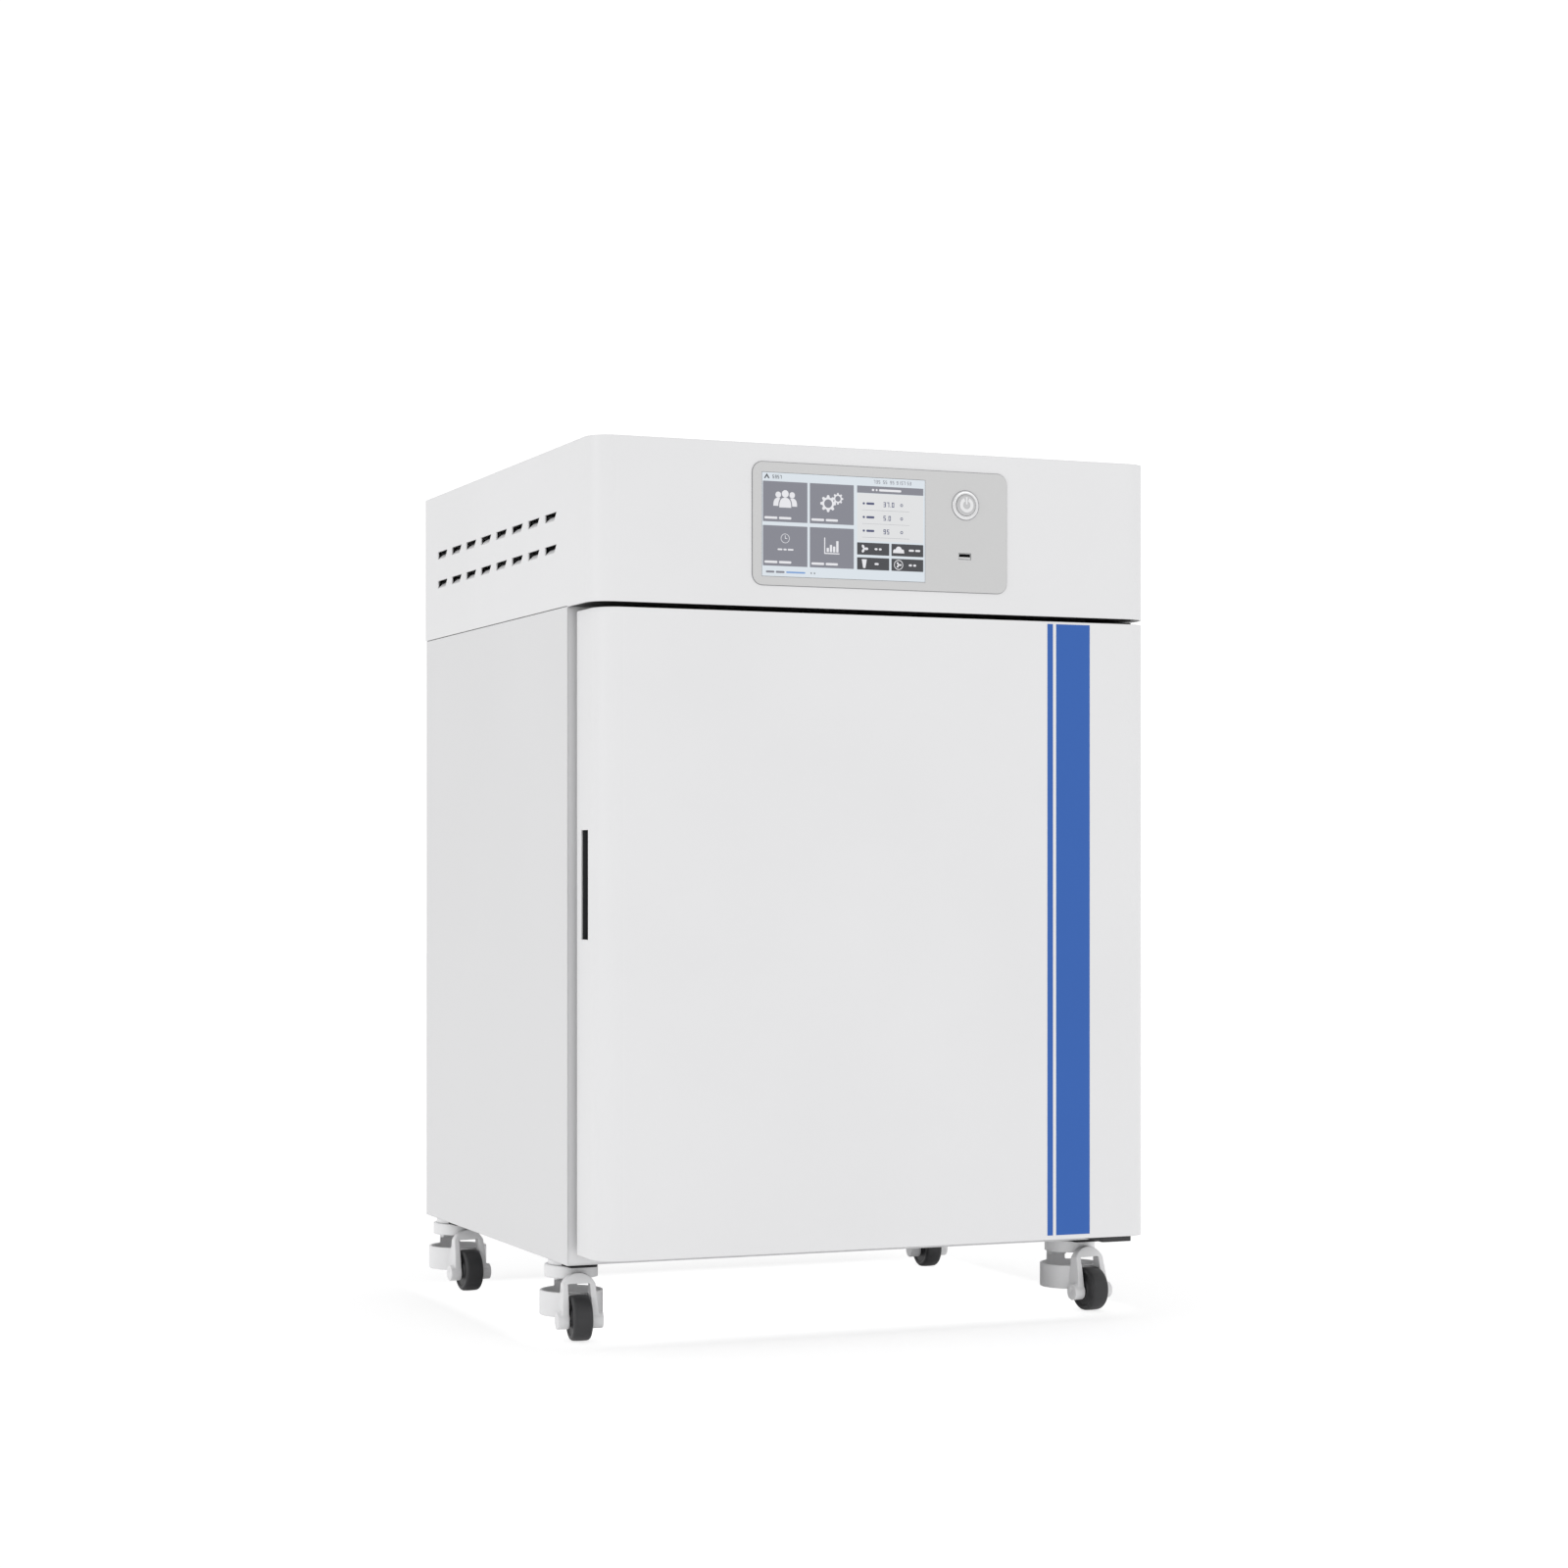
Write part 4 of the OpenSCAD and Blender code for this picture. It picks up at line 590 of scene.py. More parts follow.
SCREEN_FINISHES: dict[str, LitPanel] = {finish.title: finish for finish in (
    LitPanel("screen_ground", (223, 231, 238)),
    LitPanel("screen_tiles", (131, 132, 142)),
    LitPanel("screen_keys", (57, 58, 63)),
    LitPanel("screen_sheet", (228, 229, 230)),
    LitPanel("screen_icons", (236, 236, 240)),
    LitPanel("screen_figures", (66, 72, 112)),
    LitPanel("screen_line", (118, 158, 214)),
)}

BRIGHT_RING = Finish("bright_ring", (228, 228, 229), roughness=0.16, metallic=0.75, grain=1500.0,
                     depth=0.000004, shade=0.01, gloss_spread=0.03, edge=0.0003, wear=0.05, dust=0.0)
PRINTED_SIGN = Finish("printed_sign", (230, 230, 231), roughness=0.5, grain=900.0, depth=0.000004,
                      shade=0.01, edge=0.0001, wear=0.0, dust=0.0)
# Near-black finish of the plate under each castor: painted shade for the gap between the castor and the
# cabinet.
SEAT_PAINTED_SHADE = Finish("seat_painted_shade", (30, 30, 32), roughness=0.6, specular=0.2, grain=800.0,
                    depth=0.00002, edge=0.0004, wear=0.1, dust=0.0)
# Near-black finish of the plate in the data socket's mouth: painted shade for the dark inside of the socket.
THROAT_SHADE = Finish("throat_painted_shade", (7, 7, 8), roughness=0.85, specular=0.05, grain=1100.0,
                      depth=0.00001, edge=0.0001, wear=0.0, dust=0.0)


def dress(piece: bpy.types.Object, finish: Finish) -> None:
    """Give the piece one material, in each slot that it has."""
    material = finish.material()
    if not piece.material_slots:
        piece.data.materials.append(material)
    for slot in piece.material_slots:
        slot.material = material


def finish_piece(piece: bpy.types.Object, body: str, slot: str, nodes: Sequence[str] = (),
                 finish: Finish | None = None) -> None:
    """Dress a new piece, let it ride on its body, and hide the CAD nodes that it stands for.

    Args:
        piece: The new piece.
        body: Body that it moves with.
        slot: The record's material slot of its finish.
        nodes: CAD nodes that it stands for.
        finish: Its own finish, where that isn't the slot's.
    """
    dress(piece, finish or FINISHES[slot])
    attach(piece, body)
    if nodes:
        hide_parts(*nodes)
    LOG.info("%s: %d faces on %s", piece.name, len(piece.data.polygons), body)


def record_joint(name: str) -> dict:
    """Return the record's joint of this name."""
    return next(joint for joint in frame["record"]["behaviour"]["joints"] if joint["name"] == name)


class Cabinet:
    """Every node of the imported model, dressed by the slot that the record gives it."""

    def dress_nodes(self) -> None:
        """Set the finish of each node."""
        slots = {part["node"]: part["material_slot"] for part in frame["record"]["subparts"]}
        for name, node in frame["nodes"].items():
            dress(node, FINISHES[slots[name]])
            LOG.info("%s: dressed in %s", name, slots[name])


@dataclass
class PowerButton:
    """Round button on the display panel: a ring with a rounded lip and a crowned cap with its sign."""

    steps: int = 96
    lip: float = 0.5 * MM
    bevel: float = 2.1 * MM
    fall: float = 1.4 * MM
    foot: float = 1.6 * MM
    seat: float = 8.0 * MM
    stem_r: float = 4.0 * MM
    play: float = 0.25 * MM
    sign_radius: float = 5.7 * MM
    sign_line: float = 3.4 * MM
    sign_gap: float = 22.0
    bar_width: float = 1.9 * MM
    bar_height: float = 7.4 * MM
    shade_band: float = 0.55 * MM
    ring_box: tuple = field(default_factory=lambda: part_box("power_switch"))
    cap_box: tuple = field(default_factory=lambda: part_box("power_button"))

    def ring(self) -> None:
        """Turn the ring with the barrel behind it from one profile, and a dark band round its foot as painted
        shade.
        """
        low, high = self.ring_box
        cap_low, cap_high = self.cap_box
        outer = (high.x - low.x) / 2
        bore = (cap_high.x - cap_low.x) / 2 + self.play
        centre = ((low.x + high.x) / 2, low.y, (low.z + high.z) / 2)
        turn = np.linspace(0, math.pi / 2, 12)
        lip, bevel, fall, foot = self.lip, self.bevel, self.fall, self.foot
        outside = [(outer - bevel + bevel * math.sin(a), fall - fall * math.cos(a)) for a in turn]
        inside = [(bore + lip - lip * math.sin(a), lip - lip * math.cos(a)) for a in turn[::-1]]
        barrel = bore + 0.2 * MM
        back = high.y - low.y
        throat = self.stem_r + 0.4 * MM
        profile = inside + outside + [
            (outer, foot), (barrel + 0.25 * MM, foot), (barrel + 0.2 * MM, back), (throat, back),
            (throat, self.seat), (bore - 0.4 * MM, self.seat), (bore, self.seat - 0.6 * MM)]
        piece = write_piece("power_ring", [turned(profile, centre, "y", self.steps, closed=True)], 50)
        finish_piece(piece, "root", "satin_silver", ["power_switch"], BRIGHT_RING)
        # A dark rubber-grey band round the ring's foot, lying on the panel: painted shade round the ring.
        rim = outer + self.shade_band
        tuck = outer - 0.2 * MM
        front = foot - 0.4 * MM
        strip = [(tuck, front), (rim - 0.15 * MM, front), (rim, front + 0.15 * MM), (rim, foot), (tuck, foot)]
        piece = write_piece("ring_shade_band", [turned(strip, centre, "y", self.steps, closed=True)], 50)
        finish_piece(piece, "root", "grey_rubber")

    def cap(self) -> None:
        """Turn the cap: a flat middle, a fine groove round the sign, and a rim that falls away in a half
        cosine; then the sign in front."""
        low, high = self.cap_box
        radius = (high.x - low.x) / 2
        centre = ((low.x + high.x) / 2, low.y, (low.z + high.z) / 2)
        reach = np.linspace(0.0, 1.0, 60)
        groove = 0.2 * MM * np.exp(-((reach - 0.79) / 0.03) ** 2)
        edge = 1.1 * MM * (1 - np.cos(np.clip((reach - 0.82) / 0.18, 0, 1) * math.pi)) / 2
        front = 0.25 * MM + groove + edge
        back = high.y - low.y
        profile = list(zip((reach[1:] * radius).tolist(), front[1:].tolist())) + [
            (radius, 1.8 * MM), (radius - 1.0 * MM, 2.0 * MM), (self.stem_r, 4.6 * MM), (self.stem_r, back)]
        piece = write_piece("power_cap", [turned(profile, centre, "y", self.steps)], 50)
        finish_piece(piece, "button", "satin_silver", ["power_button"])
        self.sign(centre)

    def sign(self, centre: Point) -> None:
        """Open circle with a bar, raised on the cap.

        The circle is a band that leaves a gap at the top: a flat ring of points between two radii.
        """
        x, y, z = centre
        start = math.radians(90 + self.sign_gap)
        stop = math.radians(450 - self.sign_gap)
        angle = np.linspace(start, stop, 48)
        half = self.sign_line / 2
        rim = np.concatenate([
            (self.sign_radius + half) * np.stack([np.cos(angle), np.sin(angle)], -1),
            (self.sign_radius - half) * np.stack([np.cos(angle[::-1]), np.sin(angle[::-1])], -1)])
        front, back = y, y + 0.8 * MM
        count = len(angle)
        ring = np.concatenate([on_front(rim, x, z, front), on_front(rim, x, z, back)])
        total = 2 * count
        near = np.arange(count - 1)
        far = total - 1 - near
        faces = np.stack([near, near + 1, far - 1, far], -1).tolist()
        faces += (np.stack([near, near + 1, far - 1, far], -1) + total).tolist()
        here = np.arange(total)
        after = (here + 1) % total
        faces += np.stack([here, after, after + total, here + total], -1).tolist()
        bar = slab(rounded_outline(self.bar_width, self.bar_height, 0.5 * MM, 4), x,
                   z + self.sign_radius + half - self.bar_height / 2 + 0.6 * MM, front, back)
        piece = write_piece("power_sign", [(ring, faces), bar], 30)
        finish_piece(piece, "button", "satin_silver", finish=PRINTED_SIGN)

    def build(self) -> None:
        """Build the ring and the cap."""
        self.ring()
        self.cap()


class Layer(Enum):
    """Layers of the display picture, in steps in front of the glass."""

    GROUND = 0
    SHEET = 1
    MARKS = 2
    HALO = 3
    NEAR = 4


@dataclass
class ScreenPicture:
    """The lit picture of the touch screen: tiles, keys, a sheet of readings and generic signs.

    Sizes are in millimetres from the middle of the screen.
    """

    step: float = 0.035
    box: tuple = field(default_factory=lambda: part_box("touch_screen"))

    def __post_init__(self) -> None:
        """Find the middle of the screen and start with no shells."""
        low, high = self.box
        self.x = (low.x + high.x) / 2
        self.z = (low.z + high.z) / 2
        self.y = low.y
        self.width = (high.x - low.x) / MM
        self.height = (high.z - low.z) / MM
        self.shells: dict[str, list] = {}

    def depth(self, layer: Layer) -> tuple[float, float]:
        """Front and back depth of a layer."""
        back = self.y - layer.value * self.step * MM
        return back - self.step * MM, back

    def put(self, kind: str, layer: Layer, outline: np.ndarray, x: float, z: float,
            hole: np.ndarray | None = None) -> None:
        """Add one flat shape to a picture part.

        Args:
            kind: Name of the picture part.
            layer: Layer that the shape lies in.
            outline: Shape in millimetres.
            x: Place across.
            z: Place up.
            hole: Outline of a hole with as many points, or none.
        """
        front, back = self.depth(layer)
        place = (self.x + x * MM, self.z + z * MM, front, back)
        shell = slab(outline * MM, *place) if hole is None else band(outline * MM, hole * MM, *place)
        self.shells.setdefault(kind, []).append(shell)

    def bar(self, kind: str, layer: Layer, box: tuple[float, float, float, float],
            radius: float = 0.3) -> None:
        """Add a rectangle, given by its left, right, low and high edges."""
        left, right, low, high = box
        outline = rounded_outline(right - left, high - low, min(radius, (high - low) / 2.01), 4)
        self.put(kind, layer, outline, (left + right) / 2, (low + high) / 2)

    def words(self, kind: str, x: float, z: float, lengths: Sequence[float], size: float = 1.1) -> None:
        """Stand-in for a line of writing: a row of short plain bars."""
        for length in lengths:
            self.bar(kind, Layer.MARKS, (x, x + length, z, z + size), size / 2.2)
            x += length + size * 0.7

    def number(self, text: str, x: float, z: float, size: float, kind: str = "screen_figures") -> None:
        """Draw a number with straight strokes.

        Args:
            text: Digits, with a point where one is wanted.
            x: Left edge.
            z: Lower edge.
            size: Height of a digit.
            kind: Picture part that the strokes belong to.
        """
        strokes = {"0": "abcdef", "3": "abgcd", "5": "afgcd", "7": "abc", "9": "abfgcd", "1": "bc"}
        wide, line = size * 0.52, size * 0.15
        for letter in text:
            if letter == ".":
                self.bar(kind, Layer.MARKS, (x, x + line, z, z + line), line / 2.2)
                x += line * 2.4
                continue
            middle = z + size / 2
            boxes = {
                "a": (x, x + wide, z + size - line, z + size), "d": (x, x + wide, z, z + line),
                "g": (x, x + wide, middle - line / 2, middle + line / 2),
                "b": (x + wide - line, x + wide, middle, z + size),
                "c": (x + wide - line, x + wide, z, middle),
                "f": (x, x + line, middle, z + size), "e": (x, x + line, z, middle)}
            for stroke in strokes[letter]:
                self.bar(kind, Layer.MARKS, boxes[stroke], line * 0.2)
            x += wide + line * 1.6

    def people(self, x: float, z: float) -> None:
        """Three plain figures, a head and shoulders each, the middle one in front with a rim round it."""
        figures = [("screen_icons", Layer.MARKS, -7.3, 0.82, 0.0),
                   ("screen_icons", Layer.MARKS, 7.3, 0.82, 0.0),
                   ("screen_tiles", Layer.HALO, 0.0, 1.0, 1.0), ("screen_icons", Layer.NEAR, 0.0, 1.0, 0.0)]
        for kind, layer, side, size, rim in figures:
            self.put(kind, layer, circle(3.6 * size + rim), x + side, z + 5.8 * size)
            self.put(kind, layer, shoulders_outline(12.6 * size + 2 * rim, 9.6 * size + rim),
                     x + side, z - 7.6 * size)

    def gears(self, x: float, z: float) -> None:
        """A large gear with a small one beside it."""
        for off_x, off_z, radius, teeth in ((-4.0, -1.6, 7.2, 8), (6.4, 3.6, 4.9, 8)):
            outline = gear_outline(radius, teeth, radius * 0.15)
            self.put("screen_icons", Layer.MARKS, outline, x + off_x, z + off_z,
                     circle(radius * 0.58, len(outline)))

    def clock(self, x: float, z: float) -> None:
        """Round dial with two hands over two short bars."""
        self.put("screen_icons", Layer.MARKS, circle(4.6, 48), x, z + 4.0, circle(4.1, 48))
        self.bar("screen_icons", Layer.MARKS, (x - 0.3, x + 0.3, z + 3.7, z + 7.0))
        self.bar("screen_icons", Layer.MARKS, (x - 0.3, x + 2.2, z + 3.7, z + 4.3))
        self.words("screen_icons", x - 8.0, z - 7.6, (5.0, 3.4, 6.0), 1.6)

    def chart(self, x: float, z: float) -> None:
        """Two axes with rising bars."""
        self.bar("screen_icons", Layer.MARKS, (x - 8.2, x - 7.1, z - 7.0, z + 8.0))
        self.bar("screen_icons", Layer.MARKS, (x - 8.2, x + 8.0, z - 8.0, z - 6.9))
        for number, height in enumerate((4.0, 7.0, 5.6, 11.0)):
            left = x - 5.6 + number * 3.4
            self.bar("screen_icons", Layer.MARKS, (left, left + 2.4, z - 6.0, z - 6.0 + height))

    def key_signs(self, keys: Sequence[tuple[float, float]]) -> None:
        """Sign and a short bar on each key: a fan, a cloud, a cup and a ringed fan in plain shapes."""
        angle = np.arange(60) * (2 * math.pi / 60)
        round_part = np.stack([np.cos(angle), np.sin(angle)], -1)
        fan = (2.6 + 1.7 * np.cos(3 * angle))[:, None] * round_part
        cloud = cloud_outline([(-3.9, -1.4, 2.1), (0.2, 0.2, 3.3), (4.1, -1.2, 2.0)], -3.0)
        cup = np.array([[-2.7, 4.2], [-1.2, -4.4], [1.2, -4.4], [2.7, 4.2]])
        for outline, (x, z) in zip((fan, cloud, cup, fan * 0.72), keys):
            self.put("screen_icons", Layer.MARKS, outline, x - 9.5, z)
        ring_x, ring_z = keys[3]
        self.put("screen_icons", Layer.MARKS, circle(4.9, 60), ring_x - 9.5, ring_z, circle(4.2, 60))
        for (x, z), lengths in zip(keys, ((3.2, 3.0), (5.6, 5.4), (4.4,), (3.4, 3.2))):
            self.words("screen_icons", x + 1.6, z - 1.0, lengths, 2.0)

    def readings(self) -> None:
        """Sheet with a heading and three rows: a name, a number and a unit."""
        self.bar("screen_tiles", Layer.SHEET, (13.6, 85.2, 35.0, 42.0), 0.3)
        self.words("screen_icons", 29.5, 37.2, (2.6, 2.0, 24.0), 2.2)
        self.bar("screen_sheet", Layer.SHEET, (13.6, 85.2, -12.0, 34.6), 0.3)
        for z, number in ((23.4, "37.0"), (10.0, "5.0"), (-3.4, "95")):
            self.words("screen_figures", 19.6, z + 0.2, (2.4, 8.6), 2.2)
            self.number(number, 42.0, z - 1.4, 4.8)
            self.put("screen_figures", Layer.MARKS, circle(1.5), 61.6, z + 1.0, circle(0.8))
            self.bar("screen_tiles", Layer.MARKS, (19.0, 70.0, z - 5.2, z - 5.0), 0.1)

    def margins(self) -> None:
        """Small signs above and below the tiles: a chevron, short numbers, bars and two pointers."""
        chevron = np.array([[-3.0, -2.4], [-1.5, -2.4], [0.0, 0.1], [1.5, -2.4], [3.0, -2.4], [0.0, 2.5]])
        self.put("screen_keys", Layer.MARKS, chevron[::-1], -82.0, 46.8)
        self.number("5957", -76.0, 44.6, 3.4, "screen_keys")
        for x, text in ((31.5, "735"), (41.5, "55"), (49.2, "95"), (56.1, "9157"), (67.7, "53")):
            self.number(text, x, 44.7, 3.4, "screen_tiles")
        self.words("screen_tiles", -83.0, -47.0, (9.0, 9.2), 2.0)
        self.bar("screen_line", Layer.MARKS, (-61.6, -41.6, -46.8, -45.2), 0.6)
        pointer = np.array([[-0.8, 0.0], [0.7, -1.1], [0.7, 1.1]])
        self.put("screen_keys", Layer.MARKS, pointer, -35.4, -46.0)
        self.put("screen_keys", Layer.MARKS, -pointer, -31.6, -46.0)

    def compose(self) -> None:
        """Lay out the ground, the four tiles, the sheet of readings and the keys."""
        half_w, half_h = self.width / 2, self.height / 2
        self.bar("screen_ground", Layer.GROUND, (-half_w, half_w, -half_h, half_h))
        tiles = [(-62.7, 22.3), (-13.3, 22.3), (-62.7, -20.6), (-13.3, -20.6)]
        for x, z in tiles:
            self.bar("screen_tiles", Layer.SHEET, (x - 23.4, x + 23.4, z - 19.6, z + 19.6), 0.4)
            self.words("screen_icons", x - 21.8, z - 17.0, (13.6, 13.0), 2.3)
        self.people(tiles[0][0], tiles[0][1] + 2.0)
        self.gears(tiles[1][0], tiles[1][1] + 2.0)
        self.clock(tiles[2][0], tiles[2][1] + 3.4)
        self.chart(tiles[3][0], tiles[3][1] + 2.0)
        self.readings()
        keys = [(30.8, -19.8), (67.8, -19.8), (30.8, -34.4), (67.8, -34.4)]
        for x, z in keys:
            self.bar("screen_keys", Layer.SHEET, (x - 17.2, x + 17.4, z - 6.0, z + 6.0), 0.4)
        self.key_signs(keys)
        self.margins()

    def build(self) -> None:
        """Make one piece of each picture part."""
        self.compose()
        for kind, shells in self.shells.items():
            piece = write_piece(kind, shells, 30)
            finish_piece(piece, "root", "screen", finish=SCREEN_FINISHES[kind])


@dataclass
class PanelEdges:
    """Thin dark rim in the seam round the display panel, and a dark plate in the throat of its data socket:
    both are painted shade.
    """

    seam: float = 0.55 * MM
    corner: float = 10.5 * MM
    throat: float = 0.2 * MM
    mouth_w: float = 13.4 * MM
    mouth_h: float = 3.3 * MM
    mouth_top: float = 2.6 * MM
    lip_h: float = 1.9 * MM

    def rim(self) -> None:
        """Band between the panel's outline and one that is a seam wider, in dark rubber grey: painted shade
        in the seam round the panel.
        """
        low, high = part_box("display_bezel")
        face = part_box("head_cover")[0].y
        inner = rounded_outline(high.x - low.x, high.z - low.z, self.corner)
        outer = rounded_outline(high.x - low.x + 2 * self.seam, high.z - low.z + 2 * self.seam,
                                self.corner + self.seam)
        middle = (low + high) / 2
        piece = write_piece("bezel_shade_line", [band(outer, inner, middle.x, middle.z, face - 0.3 * MM,
                                               face - 0.02 * MM)], 30)
        finish_piece(piece, "root", "grey_rubber")

    def socket(self) -> None:
        """Dark plate just inside the mouth, painted shade for the socket's dark inside, and the light lip of
        the tongue below it.
        """
        low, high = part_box("data_socket")
        middle = (low + high) / 2
        front = low.y + self.throat
        slot_z = middle.z + self.mouth_top - self.mouth_h / 2
        slot = slab(rounded_outline(self.mouth_w, self.mouth_h, 0.3 * MM, 3), middle.x, slot_z,
                    front, front + 0.3 * MM)
        piece = write_piece("socket_shade", [slot], 30)
        finish_piece(piece, "root", "dark_plastic", finish=THROAT_SHADE)
        lip_z = middle.z + self.mouth_top - self.mouth_h - self.lip_h / 2
        lip = rounded_outline(self.mouth_w, self.lip_h, 0.3 * MM, 3)
        rings = [on_front(lip * share, middle.x, lip_z, front - off * MM)
                 for share, off in ((1.0, -0.3), (1.0, 0.1), (0.97, 0.18))]
        piece = write_piece("socket_lip", [loft(np.stack(rings))], 60)
        finish_piece(piece, "root", "panel_grey")

    def build(self) -> None:
        """Build the rim and the socket, whose dark pieces are painted shade."""
        self.rim()
        self.socket()


@dataclass
class VentLips:
    """Tongues bent in at the vents in both sides of the head."""

    count: int = 8
    length: float = 37.0 * MM
    height: float = 8.0 * MM
    pitch: float = 54.4 * MM
    start: float = 109.0 * MM
    drop: float = 62.3 * MM
    row_pitch: float = 31.9 * MM
    slant: float = 0.2
    rise: float = 5.2 * MM
    reach: float = 5.0 * MM
    sheet: float = 0.6 * MM
    inset: float = 0.5 * MM

    def tongue(self, side: float, wall: float, y: float, z: float) -> tuple[np.ndarray, list]:
        """One tongue: its section leaves the slot's lower edge along depth = reach * t ** 1.1, up = rise * t,
        and both ends follow the ends of the slot, the front one slanted.

        Args:
            side: 1 on the right and -1 on the left.
            wall: Outer face of the side, as a distance from the middle.
            y: Front end of the slot's upper edge.
            z: Upper edge of the slot.

        Returns:
            Points and faces of the shell.
        """
        share = np.linspace(0, 1, 12)
        deep = self.inset + self.reach * share ** 1.1
        depth = np.concatenate([deep, deep[::-1] + self.sheet])
        up = np.concatenate([share, share[::-1]]) * self.rise
        x = side * (wall - depth)
        height = z - self.height + up
        front = y + self.length * self.slant * (1 - up / self.height) + self.inset
        back = np.full(len(up), y + self.length - self.inset)
        return loft(np.stack([np.stack([x, along, height], axis=-1) for along in (front, back)]))

    def build(self) -> None:
        """Build the tongues of both rows on both sides as one piece."""
        low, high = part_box("head_cover")
        shells = [
            self.tongue(side, high.x, low.y + self.start + number * self.pitch,
                        high.z - self.drop - row * self.row_pitch)
            for side in (-1.0, 1.0) for row in (0, 1) for number in range(self.count)]
        piece = write_piece("vent_lips", shells, 40)
        # The tongues take painted_side: the white paint made darker as painted shade for the sides.
        finish_piece(piece, "root", "painted_side")


@dataclass
class Castor:
    """Swivel castor: the moulding is rounded all over, and the wheel is turned from one profile."""

    corner: str
    voxel: float = 0.65 * MM
    rounds: int = 2
    steps: int = 96
    wheel_width: float = 19.5 * MM
    shoulder: float = 3.2 * MM
    crown: float = 0.25 * MM
    dish: float = 1.5 * MM
    hub_r: float = 9.0 * MM
    hub_roll: float = 0.6 * MM
    bore_r: float = 3.3 * MM
    # Size, offset and heights of the dark plate under the cabinet, which is painted shade in the gap above
    # each castor.
    shade_plate_w: float = 29.0 * MM
    shade_plate_d: float = 64.0 * MM
    shade_plate_off: tuple[float, float] = (-1.0 * MM, -12.0 * MM)
    shade_plate_low: float = 71.8 * MM
    shade_plate_high: float = 75.9 * MM

    def shade_plate(self) -> None:
        """Dark plate under the cabinet that the castor's stem passes, with rounded corners: a sheet of
        painted shade in the gap between the castor and the cabinet.
        """
        swivel = record_joint(f"castor_{self.corner}_swivel")
        x, y = (place + off for place, off in zip(swivel["pos_m"], self.shade_plate_off))
        outline = rounded_outline(self.shade_plate_w, self.shade_plate_d, 4.0 * MM, 6)
        flat = np.ones(len(outline))
        levels = ((0.98, self.shade_plate_low), (1.0, self.shade_plate_low + 0.4 * MM), (1.0, self.shade_plate_high))
        rings = [np.stack([outline[:, 0] * share + x, outline[:, 1] * share + y, flat * z], axis=-1)
                 for share, z in levels]
        piece = write_piece(f"castor_shade_plate_{self.corner}", [loft(np.stack(rings))], 40)
        finish_piece(piece, "root", "black_metal", finish=SEAT_PAINTED_SHADE)

    def moulding(self) -> None:
        """Round a merged copy of the frame's solid: a fine grid of cells takes its shape, then each point
        moves towards the middle of its neighbours."""
        node = f"castor_frame_{self.corner}"
        mesh = frame["nodes"][node].data.copy()
        shell = bmesh.new()
        shell.from_mesh(mesh)
        bmesh.ops.remove_doubles(shell, verts=shell.verts, dist=1e-6)
        shell.to_mesh(mesh)
        shell.free()
        piece = bpy.data.objects.new(f"castor_moulding_{self.corner}", mesh)
        bpy.context.scene.collection.objects.link(piece)
        cells = piece.modifiers.new("cells", "REMESH")
        cells.mode = "VOXEL"
        cells.voxel_size = self.voxel
        smooth = piece.modifiers.new("round", "SMOOTH")
        smooth.factor = 0.5
        smooth.iterations = self.rounds
        graph = bpy.context.evaluated_depsgraph_get()
        solid = bpy.data.meshes.new_from_object(piece.evaluated_get(graph))
        piece.modifiers.clear()
        piece.data = solid
        solid.materials.clear()
        solid.polygons.foreach_set("use_smooth", np.ones(len(solid.polygons), bool))
        finish_piece(piece, f"castor_{self.corner}", "castor_plastic", [node])

    def wheel(self) -> None:
        """Turn the wheel: crowned tread, round shoulders, dished sides and a hub with a rolled edge.

        It is turned about X and then swung about Z onto the axle that the record gives.
        """
        node = f"wheel_{self.corner}"
        low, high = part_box(node)
        radius = (high.z - low.z) / 2
        half = self.wheel_width / 2
        shoulder = self.shoulder
        turn = np.linspace(0, math.pi / 2, 9)
        tread = [(radius - self.crown * c * c, c * (half - shoulder)) for c in np.linspace(-1, 1, 9)]
        rim = radius - self.crown - shoulder
        edge = [(rim + shoulder * math.cos(a), half - shoulder + shoulder * math.sin(a)) for a in turn[1:]]
        floor = half - self.dish
        hub, soft = self.hub_r, self.hub_roll
        face = [(rim - soft, half), (rim - 1.4 * MM, half - soft), (rim - 2.2 * MM, floor),
                (hub + self.dish, floor), (hub + soft, floor + 0.4 * MM), (hub, half - 0.2 * MM),
                (hub - soft, half), (self.bore_r + 0.9 * MM, half), (self.bore_r, half - soft)]
        right = edge + face
        left = [(reach, -along) for reach, along in right][::-1]
        piece = write_piece(f"castor_tyre_{self.corner}",
                            [turned(left + tread + right, (0, 0, 0), "x", self.steps, closed=True)], 45)
        along_x, along_y = record_joint(f"{node}_roll")["axis"][:2]
        swing = Matrix.Rotation(math.atan2(along_y, along_x), 4, "Z")
        piece.data.transform(Matrix.Translation((low + high) / 2) @ swing)
        finish_piece(piece, node, "wheel_rubber", [node])

    def build(self) -> None:
        """Build the dark plate of painted shade, the moulding and the wheel."""
        self.shade_plate()
        self.moulding()
        self.wheel()


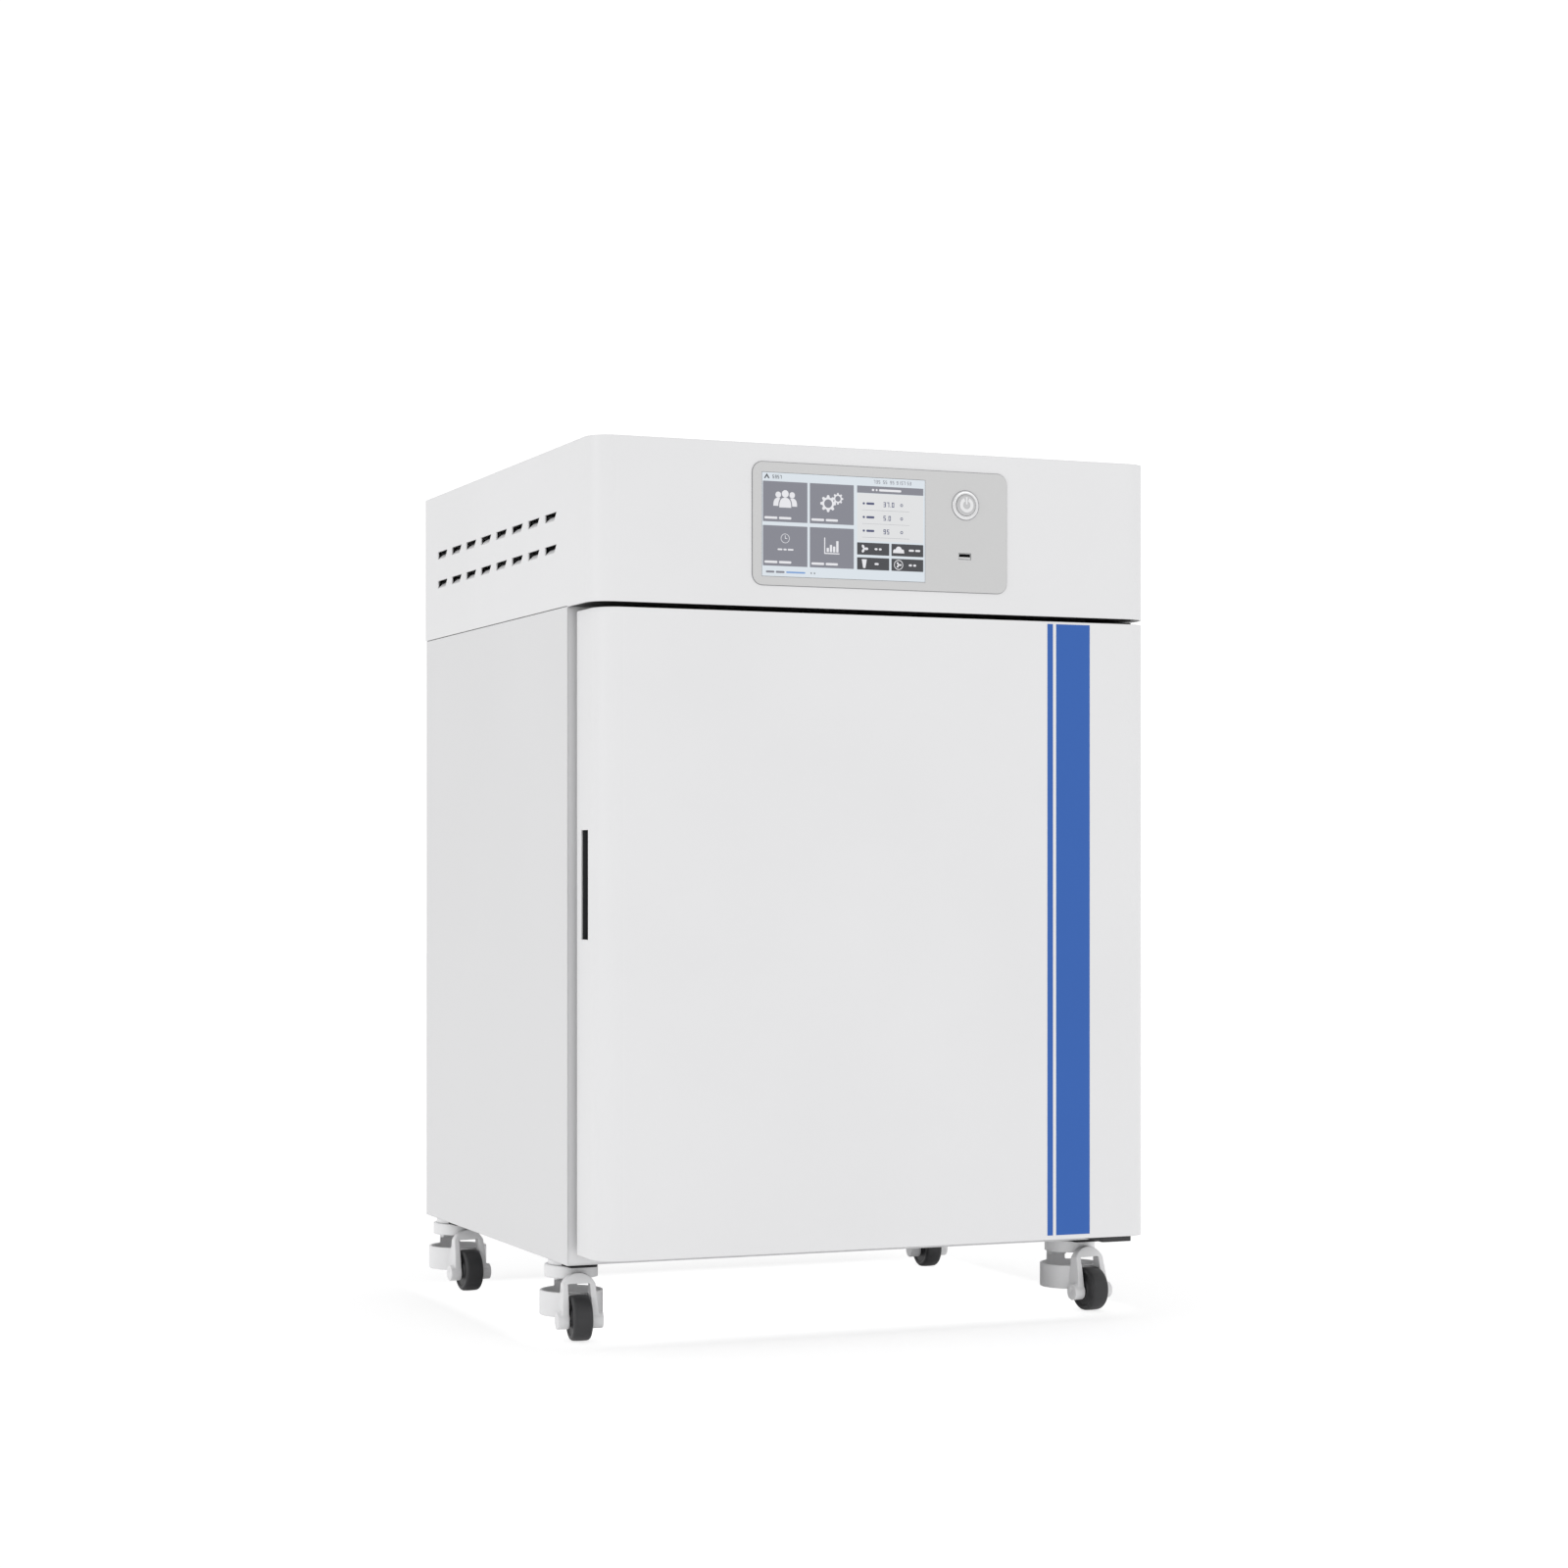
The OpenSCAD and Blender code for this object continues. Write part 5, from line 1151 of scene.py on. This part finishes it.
@dataclass
class Studio:
    """Pale floor, soft light and the camera of the photograph."""

    eye: Point = (-1.25266, -3.08512, 0.45669)
    turn: float = -22.433
    lens: float = 71.12
    horizon_row: float = 891.5
    picture: float = 1600.0
    daylight: float = 0.84
    seen_white: float = 1.1
    floor_reach: float = 14.0
    floor_grey: float = 0.55
    floor_glow: float = 0.55
    # How far the floor's glow changes under the cabinet: dimmed, as painted shade, in the light it casts, and
    # raised where the camera sees it.
    floor_painted_shade: float = 0.55
    lamps: tuple = (("key_lamp", (1.6, -3.6, 2.6), 2.4, 12.0), ("side_lamp", (-4.0, -1.0, 1.6), 2.0, 12.0))

    def camera(self) -> None:
        """Level camera whose shift puts the horizon on its row of the picture."""
        data = bpy.data.cameras.new("camera")
        data.lens = self.lens
        data.sensor_width = 36.0
        data.shift_y = (self.horizon_row - self.picture / 2) / self.picture
        data.clip_end = 100.0
        camera = bpy.data.objects.new("camera", data)
        camera.location = self.eye
        camera.rotation_euler = (math.radians(90), 0.0, math.radians(self.turn))
        bpy.context.scene.collection.objects.link(camera)
        bpy.context.scene.camera = camera

    def floor(self) -> None:
        """Wide floor that glows, so that it ends in white; under the cabinet the light its glow casts is
        dimmed as painted shade, while the camera sees it brighter there.
        """
        corners = np.array([[-1, -1, 0], [1, -1, 0], [1, 1, 0], [-1, 1, 0]]) * self.floor_reach
        mesh = bpy.data.meshes.new("floor")
        mesh.from_pydata(corners.tolist(), [], [[0, 1, 2, 3]])
        floor = bpy.data.objects.new("floor", mesh)
        bpy.context.scene.collection.objects.link(floor)
        material = bpy.data.materials.new("floor_paint")
        material.use_nodes = True
        shader = material.node_tree.nodes["Principled BSDF"]
        shader.inputs["Base Color"].default_value = (*[self.floor_grey] * 3, 1.0)
        shader.inputs["Roughness"].default_value = 0.9
        shader.inputs["Specular IOR Level"].default_value = 0.1
        shader.inputs["Emission Color"].default_value = (1.0, 1.0, 1.0, 1.0)
        wires = Wiring(material.node_tree)
        place = wires.add("ShaderNodeTexCoord").outputs["Object"]
        split = wires.add("ShaderNodeSeparateXYZ", {0: place}).outputs
        # Mask of the floor under the cabinet: there the glow that lights the cabinet is dimmed as painted
        # shade, and the glow the camera sees is raised to white.
        across = wires.spread(wires.sum("ABSOLUTE", split["X"]), 0.34, 0.24, 0.0, 1.0)
        along = wires.spread(wires.sum("ABSOLUTE", split["Y"]), 0.27, 0.17, 0.0, 1.0)
        seen = wires.add("ShaderNodeLightPath").outputs["Is Camera Ray"]
        side = wires.sum("SUBTRACT", seen, 0.5)
        under_cabinet_painted_shade = wires.sum("MULTIPLY", wires.sum("MULTIPLY", across, along), side)
        glow = wires.sum("MULTIPLY_ADD", under_cabinet_painted_shade, 2 * self.floor_painted_shade, self.floor_glow)
        material.node_tree.links.new(glow, shader.inputs["Emission Strength"])
        mesh.materials.append(material)

    def soft_light(self, name: str, place: Point, size: float, power: float) -> None:
        """Large square lamp that looks at the middle of the cabinet."""
        data = bpy.data.lights.new(name, "AREA")
        data.size = size
        data.energy = power
        lamp = bpy.data.objects.new(name, data)
        lamp.location = place
        aim = Vector((0.0, 0.0, 0.45)) - Vector(place)
        lamp.rotation_euler = aim.to_track_quat("-Z", "Y").to_euler()
        bpy.context.scene.collection.objects.link(lamp)

    def build(self) -> None:
        """Set the world, the lamps, the floor and the camera."""
        world = bpy.data.worlds.new("white_room")
        world.use_nodes = True
        ground = world.node_tree.nodes["Background"]
        ground.inputs["Color"].default_value = (1.0, 1.0, 1.0, 1.0)
        wires = Wiring(world.node_tree)
        seen = wires.add("ShaderNodeLightPath").outputs["Is Camera Ray"]
        strength = wires.sum("MULTIPLY_ADD", seen, self.seen_white - self.daylight, self.daylight)
        world.node_tree.links.new(strength, ground.inputs["Strength"])
        bpy.context.scene.world = world
        bpy.context.scene.view_settings.view_transform = "Standard"
        for lamp in self.lamps:
            self.soft_light(*lamp)
        self.floor()
        self.camera()


def main() -> None:
    """Build every piece in order and report it."""
    logging.basicConfig(level=logging.INFO, format="%(message)s")
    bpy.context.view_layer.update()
    Cabinet().dress_nodes()
    PowerButton().build()
    ScreenPicture().build()
    PanelEdges().build()
    VentLips().build()
    for corner in ("fl", "fr", "rl", "rr"):
        Castor(corner).build()
    Studio().build()


if __name__ == "__main__":
    main()
